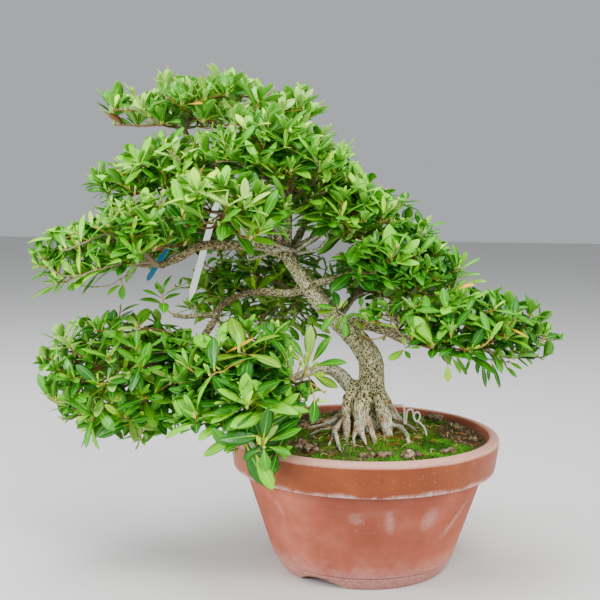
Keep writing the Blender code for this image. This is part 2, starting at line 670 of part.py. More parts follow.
# ---------------------------------------------------------------- labels and the tie
def make_label(name, into, colour):
    """A blank plant label: a loop round its bough and a long blade hanging from it."""
    label = LABELS[name]
    hang, tip = np.array(label["hang"], float), np.array(label["tip"], float)
    line = smooth_path(BOUGHS["apex_bough"], 3)
    nearest = int(np.linalg.norm(line[:, :3] - hang, axis=1).argmin())
    axis = unit(line[nearest + 1, :3] - line[nearest - 1, :3])
    limb_radius = line[nearest, 3]
    drop = unit(tip - hang)
    away = unit(drop - axis * (drop @ axis))
    middle = line[nearest, :3] + away * (LABEL_LOOP - limb_radius - GAP)
    mesh = turned_mesh(name, (
        (LABEL_LOOP + LABEL_THICKNESS, 2.0), (LABEL_LOOP + LABEL_THICKNESS, -2.0),
        (LABEL_LOOP, -2.0), (LABEL_LOOP, 2.0)))
    loop = add_object(name, mesh, into)
    turn(loop, 14)
    side = np.cross(axis, away)
    place = Matrix([(*row, at) for row, at in zip(np.stack([away, side, axis], axis=1), middle * MM)] + [(0, 0, 0, 1)])
    apply_modifiers(loop)
    loop.data.transform(place)
    loop.data.materials.append(material(name + "_material", colour, 0.4))
    start = middle + away * (LABEL_LOOP + LABEL_THICKNESS / 2)
    length = np.linalg.norm(tip - start)
    along = (tip - start) / length
    across = unit(np.cross(along, (0, 1, 0)))
    normal = np.cross(along, across)
    half, thick = LABEL_WIDTH / 2, LABEL_THICKNESS / 2
    outline = ((0, -3.0), (14, -half), (length - 3, -half), (length, -half + 3), (length, half - 3),
               (length - 3, half), (14, half), (0, 3.0))
    shape = bmesh.new()
    verts = [shape.verts.new((start + along * u + across * v - normal * thick) * MM) for u, v in outline]
    face = shape.faces.new(verts)
    made = bmesh.ops.extrude_face_region(shape, geom=[face])
    moved = [item for item in made["geom"] if isinstance(item, bmesh.types.BMVert)]
    bmesh.ops.translate(shape, verts=moved, vec=normal * 2 * thick * MM)
    bmesh.ops.recalc_face_normals(shape, faces=shape.faces)
    blade = bpy.data.meshes.new(name + "_blade")
    shape.to_mesh(blade)
    shape.free()
    pieces = collection(name + "_pieces", hidden=True)
    add_object(blade.name, blade, pieces)
    boolean(loop, pieces, "UNION", "EXACT")
    remove_objects(pieces.objects)
    keep_largest_body(loop)


def make_tie(into, spare):
    path = smooth_path(TIE_WIRE, 5.0)
    path = np.column_stack([path, np.full(len(path), TIE_RADIUS)])
    add_object("tie_wire", tube_mesh("tie_wire", [path], 6, spare), into, COLOURS["white"], 0.35)


def hang_on_axis(pieces):
    """Parents every piece to one empty on the pot's axis, which carries the whole to its place in the frame."""
    axis = bpy.data.objects.new("pot_axis", None)
    bpy.context.scene.collection.objects.link(axis)
    axis.location = Vector(POT_AXIS) * MM
    for obj in pieces:
        obj.parent = axis


# ---------------------------------------------------------------- the object
UNION_SOLVER = "MANIFOLD"
LIMB_LINES = {name: smooth_path(path, 8) for name, path in BOUGHS.items()}
LIMB_LINES["trunk"] = smooth_path(TRUNK, 8)
for label_name, label_spec in LABELS.items():
    LIMB_LINES[label_name] = np.array([(*label_spec["hang"], LABEL_WIDTH / 2), (*label_spec["tip"], LABEL_WIDTH / 2)])
BOUGH_ENDS = {}
for bough_name, bough_path in BOUGHS.items():
    ends = smooth_path(bough_path, LIMB_STEP)[-2:, :3]
    BOUGH_ENDS[bough_name] = (ends[1], unit(ends[1] - ends[0]))


def main():
    clear_scene()
    into = collection("azalea_bonsai")
    cutters = collection("cutters", hidden=True)
    spare = collection("spare", hidden=True)
    make_pot(into, cutters)
    make_soil(into)
    make_trunk(into, spare)
    make_boughs(into, spare)
    leaves = sum(make_mass(name, into, spare, number) for number, name in enumerate(MASSES))
    print("leaves in all:", leaves)
    make_label("white_label", into, COLOURS["white"])
    make_label("blue_label", into, COLOURS["blue"])
    make_tie(into, spare)
    remove_objects(spare.objects)
    hang_on_axis([*into.objects, *cutters.objects])


main()
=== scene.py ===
"""The finish of an azalea bonsai in a low round terracotta training pot.

Sizes are in millimetres from the pot's own axis, as the construction has them. in_frame() turns them
into metres and sets them at POT_AXIS where a mesh is made. Every shape is a function of two
parameters on a grid, or a ring carried along a path, worked out with whole arrays.
"""

import math

import bpy
import numpy as np
from mathutils import Matrix, Vector


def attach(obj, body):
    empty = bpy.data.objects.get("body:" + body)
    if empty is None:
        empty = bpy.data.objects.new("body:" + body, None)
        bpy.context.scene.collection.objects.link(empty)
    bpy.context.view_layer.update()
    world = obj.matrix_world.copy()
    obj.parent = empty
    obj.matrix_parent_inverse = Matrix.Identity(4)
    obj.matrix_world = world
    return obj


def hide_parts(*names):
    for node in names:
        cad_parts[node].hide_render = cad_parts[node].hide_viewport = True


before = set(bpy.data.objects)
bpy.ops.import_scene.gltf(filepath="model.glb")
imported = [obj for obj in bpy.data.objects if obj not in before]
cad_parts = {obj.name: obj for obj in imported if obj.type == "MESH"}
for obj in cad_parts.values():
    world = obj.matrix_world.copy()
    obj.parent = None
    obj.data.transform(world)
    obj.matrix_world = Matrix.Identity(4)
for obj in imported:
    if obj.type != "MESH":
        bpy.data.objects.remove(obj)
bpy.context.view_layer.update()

MM = 0.001
POT_AXIS = np.array([81.0, -4.0, 0.0])
GOLDEN = math.radians(137.508)   # from one leaf of a rosette to the next
SEED = 9

# ---- sizes shared with the construction
RIM_RADIUS, CREST_RADIUS, CREST_Z = 135.0, 127.5, 136.3
COLLAR_Z = 101.5             # the collar's lower edge
FOOT_RADIUS = 78.0           # the middle of the foot ring
UNDERSIDE_Z, FLOOR_Z = 8.6, 15.0
NOTCHES = (-119.0, 1.0, 121.0)
NOTCH_WIDTH, NOTCH_HEIGHT = 45.0, 8.0
MOUND_RADIUS = 54.0

# Every limb is a path of (x, y, z, radius).
TRUNK = (
    (6, 0, 130, 13.0), (6, 0, 150, 13.5), (6, 0, 168, 15.2), (6, 0, 182, 14.0), (6.5, -1, 196, 12.7),
    (4.5, -4, 210, 12.0), (-8, -9, 229, 10.8), (-31, -10, 252, 9.0), (-51, -9, 273, 7.8),
    (-64, -7, 290, 7.0), (-74, -4, 303, 6.8), (-79, -1, 313, 8.2), (-81, 0, 320, 6.6),
)
ROOTS = (
    ((0, -8, 178, 9.0), (-4, -20, 165, 8.0), (-4, -28, 157, 7.2), (-3, -34, 151, 5.4), (-4, -40, 147, 4.0),
     (-2, -48, 142, 2.5), (1, -58, 137, 1.8), (3, -65, 131, 1.4)),
    ((-6, -32, 152, 3.4), (-8, -43, 145, 2.4), (-10, -54, 140, 1.7), (-9, -64, 132, 1.2)),
    ((2, -28, 154, 4.2), (6, -34, 147, 3.3), (8, -41, 142, 2.7), (10, -49, 137, 2.0), (11, -57, 130, 1.5)),
    ((-8, -4, 178, 7.0), (-16, -12, 169, 5.6), (-18, -21, 159, 4.4), (-17, -28, 152, 3.2),
     (-17, -35, 147, 3.9), (-17, -44, 140, 3.0), (-17, -52, 131, 2.2)),
    ((-19, -24, 154, 3.0), (-24, -30, 148, 2.4), (-29, -38, 145, 2.0), (-27, -56, 142, 2.0),
     (-22, -84, 135, 1.5)),
    ((-23, -28, 150, 2.4), (-28, -40, 145, 2.6), (-30, -50, 140, 1.8), (-34, -60, 133, 1.3)),
    ((-26, -34, 146, 2.2), (-34, -31, 143.5, 1.8), (-42, -28, 141.5, 1.5), (-54, -26, 135, 1.2)),
    ((10, -5, 180, 9.4), (14, -14, 170, 7.8), (18, -21, 159, 6.6), (21, -27, 149, 6.0), (23, -31, 142, 5.0),
     (24, -34, 133, 3.4)),
    ((22, -25, 150, 3.0), (28, -21, 146.5, 2.4), (34, -16, 144, 2.0), (39, -27, 142.5, 1.9),
     (42, -44, 140, 1.6), (43, -52, 134, 1.3)),
    ((12, -2, 178, 8.0), (19, -3, 169, 6.4), (25, 0, 160, 4.8), (30, 6, 152, 3.6), (36, 13, 144, 2.8),
     (42, 20, 134, 2.0)),
    ((24, -8, 156, 3.2), (31, -10, 151, 2.4), (38, -8, 147, 2.0), (46, -6, 142, 1.6), (54, -4, 135, 1.2)),
    ((-8, 3, 166, 5.2), (-20, 0, 154, 3.4), (-30, -6, 146, 2.2), (-42, -8, 142, 1.6), (-58, -5, 136, 1.2)),
    ((0, 4, 164, 6.0), (-16, 14, 150, 4.0), (-32, 24, 142, 2.6), (-48, 34, 130, 1.8)),
    ((0, 0, 160, 5.4), (-16, 3, 149, 3.6), (-29, 8, 142, 2.2), (-42, 13, 130, 1.6)),
    ((6, 4, 172, 8.0), (8, 19, 157, 6.4), (9, 32, 146, 5.0), (10, 43, 130, 4.0)),
)
BOUGHS = {
    "left_bough": (
        (-78, -2, 313, 6.0), (-103, -14, 321, 5.2), (-119, -22, 322, 4.9), (-157, -40, 322, 4.3),
        (-179, -45, 312, 3.8), (-198, -48, 303, 3.3)),
    "apex_bough": (
        (-79, 0, 316, 5.4), (-106, 10, 344, 4.6), (-128, 14, 368, 4.4), (-147, 20, 387, 4.1),
        (-163, 32, 406, 3.8), (-185, 54, 425, 3.3), (-193, 64, 436, 3.1)),
    "crown_bough": ((-79, -1, 316, 4.4), (-78, -4, 342, 3.6), (-76, -7, 366, 3.0)),
    "shoulder_bough": (
        (-78, 0, 315, 4.0), (-61, -1, 324, 3.4), (-45, -2, 334, 3.0), (-30, -3, 345, 2.6)),
    "back_top_bough": (
        (-77, 0, 315, 4.0), (-68, 22, 332, 3.5), (-61, 42, 350, 3.0)),
    "back_left_bough": (
        (-79, 0, 314, 4.0), (-102, 22, 317, 3.6), (-132, 38, 319, 3.1), (-152, 46, 321, 2.8)),
    "front_bough": ((-108, -16, 321, 3.6), (-113, -30, 331, 3.0), (-119, -43, 343, 2.6)),
    "second_bough": (
        (-126, 14, 366, 3.8), (-144, 36, 377, 3.2), (-162, 44, 384, 2.8)),
    "right_upper_bough": (
        (-62, -8, 284, 4.4), (-48, -5, 285, 3.6), (-32, -4, 289, 3.1), (-14, -5, 297, 2.7)),
    "right_bough": (
        (-24, -10, 241, 7.6), (-9, -10, 248, 6.9), (6, -12, 244, 6.4), (22, -19, 239, 5.6),
        (35, -25, 233, 4.8), (46, -28, 231, 3.8)),
    "right_stub": ((27, -21, 237, 4.2), (28, -24, 250, 3.6), (25, -26, 262, 3.0)),
    "low_front_bough": (
        (0, 0, 178, 9.0), (-14, 0, 180, 8.0), (-25, -2, 192, 7.0), (-37, -8, 199, 6.0),
        (-50, -22, 200, 4.8), (-62, -40, 198, 3.9), (-70, -56, 197, 3.4)),
    "low_left_bough": (
        (-60, -7, 282, 4.6), (-76, 4, 273, 3.8), (-105, 11, 273, 3.4), (-126, 7, 270, 3.2),
        (-145, 0, 260, 3.1), (-152, -8, 244, 3.0), (-163, -15, 228, 2.8)),
    "spur_bough": (
        (-150, -5, 251, 2.6), (-164, -14, 251, 2.2), (-179, -24, 251, 2.0), (-188, -30, 253, 1.9)),
    "back_low_bough": ((-52, -9, 271, 4.2), (-60, 12, 273, 3.4), (-72, 30, 273, 2.9)),
    "back_right_bough": (
        (-30, -9, 247, 4.4), (-22, 16, 257, 3.6), (-12, 36, 267, 3.1), (-3, 50, 273, 2.8)),
}

# Bare twigs at the fork and the stems of single sprigs, (places, radius).
BARE_TWIGS = (
    (((-69, -8, 316), (-80, -13, 319), (-86, -15, 321)), 1.7),
    (((-72, -10, 317), (-85, -16, 318), (-94, -19, 317), (-98, -20, 318), (-111, -22, 319)), 1.4),
    (((-89, -14, 316), (-92, -18, 315), (-99, -21, 313), (-109, -24, 310), (-115, -26, 309), (-115, -28, 316),
      (-119, -29, 321)), 1.3),
    (((-95, -19, 317), (-100, -26, 323), (-104, -34, 330), (-103, -42, 338)), 1.1),
    (((-70, -8, 316), (-61, -14, 323), (-50, -17, 331), (-41, -20, 336), (-29, -24, 338)), 1.5),
    (((-68, -8, 314), (-63, -13, 315), (-48, -18, 319), (-42, -20, 325), (-39, -20, 329),
      (-39, -20, 335)), 1.6),
    (((-14, -16, 248), (-17, -26, 253), (-22, -34, 257), (-26, -37, 260)), 1.0),
    (((-10, -16, 250), (-8, -28, 255), (-7, -36, 260), (-5, -36, 265)), 0.9),
    (((45, -26, 229), (42, -36, 228), (38, -46, 227)), 1.0),
    (((66, -32, 229), (72, -40, 224), (77, -48, 217), (78, -52, 213)), 0.8),
    (((6, -16, 245), (8, -20, 255), (9, -22, 262), (12, -24, 271), (14, -24, 275)), 1.3),
    (((41, -28, 234), (49, -40, 246), (55, -50, 255), (63, -56, 260)), 1.4),
    (((-13, -8, 297), (-12, -20, 299), (-11, -30, 300)), 0.9),
    (((56, -30, 232), (60, -50, 240), (60, -60, 246)), 0.9),
    (((-66, -52, 190), (-62, -58, 194), (-58, -58, 202), (-54, -56, 212)), 1.1),
    (((46, -28, 231), (66, -34, 226), (80, -32, 222), (93, -32, 217), (107, -33, 217), (122, -33, 215),
      (134, -34, 213), (139, -34, 214)), 1.3),
    (((38, -14, 300), (44, -14, 313), (51, -15, 323), (55, -16, 335), (55, -16, 339)), 1.0),
    (((72, -24, 268), (81, -24, 279), (87, -24, 289), (88, -24, 300)), 1.0),
    (((-304, -47, 285), (-286, -49, 285), (-271, -50, 282), (-254, -51, 282), (-243, -51, 285),
      (-236, -51, 290), (-224, -50, 296)), 1.0),
    (((-236, -51, 290), (-234, -52, 285)), 0.6),
    (((-96, -96, 176), (-92, -114, 168), (-90, -128, 159), (-89, -136, 147)), 1.2),
    (((-93, -112, 169), (-101, -122, 164), (-107, -129, 156)), 0.9),
    (((-98, -100, 178), (-103, -112, 180), (-107, -126, 177)), 0.9),
    (((-104, -108, 180), (-114, -114, 182), (-124, -120, 180)), 0.9),
    (((-96, 48, 244), (-87, 44, 243), (-77, 44, 245), (-65, 44, 248), (-56, 46, 241), (-55, 46, 226)), 1.0),
    (((-65, 44, 248), (-56, 45, 245), (-47, 48, 244)), 0.7),
    (((28, -24, 250), (21, -30, 258), (19, -32, 263)), 1.9),
    (((27, -24, 256), (31, -26, 266), (34, -27, 268)), 2.0),
)

# Each mass keeps to an ellipsoid: `at` is its middle, `reach` its half-lengths and `lean` how many
# degrees its right end dips, if any. `tips` counts its main twigs and `fine` the ones grown on from
# them, `heads` are tips whose places are set, and no leaf is in the `hollows`, (middle, half-lengths).
# `low` is how far down tips may be. `leaf` is the mean length and the share of it that is its width.
# `tint` deals out the greens, see LEAF_TINTS.
MASSES = {
    "apex_leaves": dict(
        bough="apex_bough", at=(-172, 88, 458), reach=(130, 84, 49), tips=12, fine=56,
        leaf=(29, 0.42), tint="apex",
        heads=((-274, 78, 463), (-271, 81, 443), (-207, 30, 470), (-189, 24, 461), (-144, 31, 470)),
        hollows=(((-243, 70, 500), (15, 90, 24)), ((-183, 70, 505), (10, 90, 16)),
                 ((-101, 70, 502), (20, 90, 20)))),
    "second_leaves": dict(
        bough="second_bough", at=(-197, 34, 394), reach=(98, 80, 50), lean=-12, tips=9, fine=54,
        leaf=(29, 0.38), tint="painted_lit",
        heads=((-270, 22, 378), (-276, 20, 384), (-199, -19, 416), (-188, -23, 410)),
        hollows=(((-262, 34, 430), (32, 90, 24)),)),
    "crown_leaves": dict(
        bough="crown_bough", at=(-92, -14, 406), reach=(86, 74, 56), lean=10, tips=9, fine=50,
        leaf=(31, 0.36), tint="upper", heads=((-117, -53, 434), (-102, -68, 402))),
    "shoulder_leaves": dict(
        bough="shoulder_bough", at=(-20, -6, 352), reach=(72, 66, 56), lean=36, tips=7, fine=56,
        leaf=(31, 0.37), tint="upper", heads=((-24, -53, 352), (-2, -52, 348), (23, -33, 362), (29, -10, 368)),
        hollows=(((36, -6, 420), (48, 90, 50)),)),
    "left_leaves": dict(
        bough="left_bough", at=(-238, -46, 322), reach=(102, 66, 56), lean=-18, tips=10, fine=56,
        leaf=(31, 0.35), tint="painted_lit",
        heads=((-221, -52, 376), (-186, -74, 357), (-253, -92, 342), (-216, -92, 335), (-282, -88, 319),
               (-265, -92, 325), (-298, -40, 289), (-264, -60, 294)),
        hollows=(((-290, -46, 380), (46, 90, 38)),)),
    "front_leaves": dict(
        bough="front_bough", at=(-130, -60, 358), reach=(76, 60, 52), tips=6, fine=34,
        leaf=(33, 0.36), tint="upper",
        heads=((-127, -104, 364), (-153, -97, 374), (-98, -91, 340), (-107, -89, 332), (-96, -94, 348))),
    "right_leaves": dict(
        bough="right_upper_bough", at=(24, -12, 309), reach=(84, 70, 56), lean=26, tips=9, fine=64,
        leaf=(30, 0.39), tint="right",
        heads=((54, -14, 339), (89, -24, 307), (29, -63, 324), (54, -45, 338), (87, -32, 303),
               (-12, -42, 312), (-4, -50, 292), (12, -58, 304)),
        hollows=(((90, -12, 360), (32, 90, 32)),)),
    "right_low_leaves": dict(
        bough="right_bough", at=(87, -32, 245), reach=(116, 64, 54), lean=6, tips=10, fine=66,
        leaf=(28, 0.41), tint="right",
        heads=((59, -77, 259), (138, -67, 260)), hollows=(((40, -32, 203), (36, 90, 26)),)),
    "low_left_leaves": dict(
        bough="low_left_bough", at=(-240, -16, 190), reach=(106, 72, 80), lean=-6, tips=12, low=-0.66, fine=84,
        leaf=(31, 0.39), tint="painted_lit_low",
        heads=((-248, 0, 256), (-206, -10, 252), (-225, -20, 128), (-260, 0, 138), (-225, -35, 241),
               (-195, -26, 236), (-246, -62, 216), (-279, -13, 239), (-254, -70, 188), (-216, -65, 177),
               (-188, -55, 189)),
        hollows=(((-350, -16, 152), (40, 90, 50)),)),
    "low_front_leaves": dict(
        bough="low_front_bough", at=(-104, -98, 184), reach=(90, 64, 88), tips=10, low=-0.72, fine=48,
        leaf=(38, 0.38), tint="lower",
        heads=((-112, -129, 233), (-137, -134, 212), (-106, -144, 200), (-52, -120, 213), (-103, -145, 186),
               (-89, -137, 150)),
        hollows=(((-152, -98, 116), (50, 90, 44)), ((-38, -90, 150), (28, 70, 38)))),
    "spur_leaves": dict(
        bough="spur_bough", at=(-202, -40, 268), reach=(48, 44, 34), tips=0, fine=0,
        leaf=(25, 0.36), tint="painted_lit", heads=((-196, -50, 277),)),
    "back_low_leaves": dict(
        bough="back_low_bough", at=(-116, 66, 274), reach=(104, 62, 66), tips=8, fine=62, low=-0.75,
        leaf=(27, 0.38), tint="back",
        heads=((-56, 50, 238), (-50, 56, 229), (-69, 50, 230), (-69, 50, 249), (-146, 44, 286),
               (-118, 34, 290), (-92, 30, 286), (-136, 50, 270), (-70, 40, 280))),
    "back_right_leaves": dict(
        bough="back_right_bough", at=(34, 82, 286), reach=(92, 62, 66), lean=14, tips=8, fine=60,
        leaf=(28, 0.38), tint="back", heads=((-30, 60, 284), (-34, 72, 306), (-12, 62, 262)),
        hollows=(((98, 82, 350), (42, 90, 42)),)),
    "back_left_leaves": dict(
        bough="back_left_bough", at=(-206, 74, 322), reach=(86, 60, 54), tips=5, fine=44,
        leaf=(29, 0.37), tint="painted_lit"),
    "back_top_leaves": dict(
        bough="back_top_bough", at=(-28, 78, 364), reach=(90, 62, 70), lean=24, tips=6, fine=62, low=-0.5,
        leaf=(29, 0.38), tint="upper", heads=((-28, 40, 341), (-69, 34, 351), (3, 34, 335), (-38, 34, 328)),
        hollows=(((42, 78, 424), (56, 90, 50)),)),
}
TO_FRONT = np.array([0.1, -0.994, 0.03])
# Strips of leafless room in front of a limb or a label, (from, to, half-width).
OPEN_STRIPS = (
    ((-152, 15, 362), (-178, 4, 262), 7.0), ((-199, 8, 322), (-221, -4, 282), 7.0),
    ((-14, -12, 247), (36, -26, 233), 7.0), ((27, -21, 237), (22, -26, 262), 6.0),
    ((-14, -2, 186), (-54, -26, 200), 8.0), ((-6, -6, 222), (-52, -9, 276), 11.0),
    ((-62, -8, 290), (-80, -2, 312), 8.0), ((-70, -10, 318), (-98, -20, 318), 6.0),
    ((-124, -24, 320), (-206, -50, 297), 8.0), ((-56, -56, 196), (-52, -58, 240), 15.0),
    ((-48, -60, 214), (-28, -64, 224), 12.0), ((-90, -134, 132), (-90, -136, 166), 13.0),
    ((-84, -134, 158), (-62, -132, 172), 8.0),
)
# Blank plant labels: top, tip, which way the face looks, whether the end is a point.
LABELS = {
    "white_label": ((-146, 19, 386), (-178, 4, 264), (-0.83, -0.56, 0.1), True),
    "blue_label": ((-155, 26, 396), (-220, -2, 284), (-0.85, -0.5, 0.1), False),
}
LABEL_HALF_WIDTH, LABEL_THICKNESS, LABEL_ROOM = 6.5, 0.9, 4.5
TWIG_STEP = 9.0      # distance between two places where a fine twig can branch
BETWEEN = 0.035      # how much nearer its own middle a mass stays than any other's
TWIG_CLEAR = 3.4     # from the middle of a twig to a limb
CLOSEST = 11.5       # between two rosettes
LEAF_CLEAR = 1.2     # from a leaf to a limb's skin
POT_CLEAR = 3.0      # from a leaf or twig to the pot
SKIN, SKIN_DEPTH, SKIN_SIZE = 1.13, 0.34, 30.0   # a mass's reach, how deep noise cuts in, and its size
DROP = 14.0          # how far under a mass's middle the point lies that its rosettes turn away from
TURNED = 0.003       # the share of old leaves that are yellow or brown


# ---- arrays
def unit(vector):
    """Each vector of an array at length 1."""
    return vector / np.linalg.norm(vector, axis=-1, keepdims=True)


def in_frame(points):
    """Millimetres from the pot's axis as metres in the frame."""
    return (np.asarray(points, float) + POT_AXIS) * MM


def smooth_path(points, step):
    """A Catmull-Rom curve through the points, read about every `step` millimetres."""
    points = np.array(points, float)
    padded = np.vstack([2 * points[0] - points[1], points, 2 * points[-1] - points[-2]])
    made = [points[:1]]
    for before, a, b, after in zip(padded[:-3], padded[1:-2], padded[2:-1], padded[3:]):
        count = max(1, round(np.linalg.norm((b - a)[:3]) / step))
        t = (np.arange(1, count + 1) / count)[:, None]
        made.append(0.5 * (2 * a + (b - before) * t + (2 * before - 5 * a + 4 * b - after) * t**2
                           + (3 * a - before - 3 * b + after) * t**3))
    return np.vstack(made)


LATTICE = np.random.default_rng(3).random((64, 64, 64))


def cloud(points, size):
    """Lattice noise from 0 to 1: random values at the corners of cubes of `size`, blended inside each
    by 3t^2 - 2t^3 along every axis."""
    place = np.asarray(points, float) / size
    cell = np.floor(place).astype(int)
    t = place - cell
    t = t * t * (3 - 2 * t)
    total = np.zeros(len(place))
    for corner in np.ndindex(2, 2, 2):
        share = np.prod(np.where(corner, t, 1 - t), axis=-1)
        at = (cell + corner) % 64
        total += share * LATTICE[at[:, 0], at[:, 1], at[:, 2]]
    return total


def cracks(points, size):
    """How far each point is from the border between its two nearest seeds, as a share of `size`: one
    seed is scattered in every cube of that size."""
    place = np.asarray(points, float) / size
    cell = np.floor(place).astype(int)
    nearest, second = np.full(len(place), 9.0), np.full(len(place), 9.0)
    for step in np.ndindex(3, 3, 3):
        at = cell + step - 1
        i, j, k = (at % 64).T
        seed = at + np.stack([LATTICE[i, j, k], LATTICE[j, k, i], LATTICE[k, i, j]], 1)
        gap = np.linalg.norm(seed - place, axis=1)
        second = np.minimum(second, np.maximum(gap, nearest))
        nearest = np.minimum(nearest, gap)
    return second - nearest


def drift(points, size, apart):
    """A vector of noise from -0.5 to 0.5 for every point."""
    return np.stack([cloud(points + apart * k, size) for k in range(3)], 1) - 0.5


def ridge(points, size):
    """1 along the winding lines where the noise passes its middle, and 0 where it is farthest from it."""
    return 1 - np.abs(2 * cloud(points, size) - 1)


# ---- meshes
def new_piece(name, mesh, materials, slot, *nodes):
    """An object of the plant that rides on the root body and stands for the named nodes."""
    piece = bpy.data.objects.new(name, mesh)
    bpy.context.scene.collection.objects.link(piece)
    for material in materials:
        mesh.materials.append(material)
    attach(piece, "root")
    if nodes:
        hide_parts(*nodes)


def mesh_of(name, points, corners, sides, kinds=None, smooth=True, **attributes):
    """A mesh from points in millimetres, the faces' corners one after another, and each face's number
    of corners. Each attribute is a value or a vector for every point."""
    mesh = bpy.data.meshes.new(name)
    mesh.vertices.add(len(points))
    mesh.vertices.foreach_set("co", in_frame(points).ravel())
    mesh.loops.add(len(corners))
    mesh.polygons.add(len(sides))
    mesh.polygons.foreach_set("loop_start", np.concatenate([[0], np.cumsum(sides)[:-1]]).astype(np.int32))
    mesh.loops.foreach_set("vertex_index", np.asarray(corners, np.int32))
    if kinds is not None:
        mesh.polygons.foreach_set("material_index", np.asarray(kinds, np.int32))
    mesh.polygons.foreach_set("use_smooth", np.full(len(sides), smooth))
    mesh.update(calc_edges=True)
    add_attributes(mesh, attributes)
    return mesh


def add_attributes(mesh, attributes):
    """Puts one value or one vector for every point into the mesh, under each name."""
    for name, values in attributes.items():
        values = np.asarray(values, np.float32)
        if values.ndim == 1:
            mesh.attributes.new(name, "FLOAT", "POINT").data.foreach_set("value", values)
        else:
            mesh.attributes.new(name, "FLOAT_VECTOR", "POINT").data.foreach_set("vector", values.ravel())


def grid_faces(rows, columns, closed_rows=False, closed_columns=True):
    """The quads of a grid of points whose row r, column c is point r * columns + c."""
    r = np.arange(rows if closed_rows else rows - 1)
    c = np.arange(columns if closed_columns else columns - 1)
    r, c = [a.ravel() for a in np.meshgrid(r, c, indexing="ij")]
    r_next, c_next = (r + 1) % rows, (c + 1) % columns
    return np.stack([r * columns + c, r * columns + c_next, r_next * columns + c_next, r_next * columns + c], 1)


def cap(middle, first, columns, turned=False):
    """Triangles from a middle point to the ring of points that starts at `first`."""
    ring = np.arange(columns)
    pair = [first + ring, first + (ring + 1) % columns]
    return np.stack([np.full(columns, middle), *(pair[::-1] if turned else pair)], 1)


def faces_of(*blocks):
    """Blocks of faces, each an array of one row for each face, as corners one after another and each
    face's number of corners."""
    corners = np.concatenate([block.ravel() for block in blocks])
    return corners, np.concatenate([np.full(len(block), block.shape[1]) for block in blocks])


def carried_frames(line):
    """Two cross directions at each point of a path, carried along it without twist."""
    tangents = unit(np.gradient(line[:, :3], axis=0))
    across = unit(np.cross(tangents[0], (0.31, 0.87, 0.38)))
    crosses = []
    for tangent in tangents:
        across = unit(across - tangent * (across @ tangent))
        crosses.append(across)
    crosses = np.array(crosses)
    return tangents, crosses, np.cross(tangents, crosses)


def tube(line, sides, swell=None):
    """A ring of `sides` points carried along a path of (x, y, z, radius), its ends drawn to a point.
    `swell` is added to the radius at every point of the grid."""
    tangents, across, up = carried_frames(line)
    turn = 2 * math.pi * np.arange(sides) / sides
    out = np.cos(turn)[None, :, None] * across[:, None] + np.sin(turn)[None, :, None] * up[:, None]
    radius = np.repeat(line[:, 3:4], sides, axis=1)
    if swell is not None:
        radius = radius + swell
    points = (line[:, None, :3] + out * radius[..., None]).reshape(-1, 3)
    first = line[0, :3] - tangents[0] * line[0, 3] * 0.3
    last = line[-1, :3] + tangents[-1] * line[-1, 3] * 0.6
    count = len(points)
    ends = cap(count, 0, sides, turned=True), cap(count + 1, count - sides, sides)
    return np.vstack([points, first, last]), *faces_of(grid_faces(len(line), sides), *ends)


def joined(parts):
    """Several (points, corners, counts) as one mesh. A fourth value is the kind of a part's faces."""
    points, corners, counts, kinds = [], [], [], []
    offset = 0
    for part in parts:
        points.append(part[0])
        corners.append(part[1] + offset)
        counts.append(part[2])
        kinds.append(np.full(len(part[2]), part[3] if len(part) > 3 else 0))
        offset += len(part[0])
    return np.vstack(points), np.concatenate(corners), np.concatenate(counts), np.concatenate(kinds)


# ---- materials
def srgb(red, green, blue):
    """A colour given as 0-255 display values, as the linear values that a shader takes."""
    shown = np.array([red, green, blue]) / 255
    linear = np.where(shown <= 0.04045, shown / 12.92, ((shown + 0.055) / 1.055) ** 2.4)
    return (*linear, 1.0)


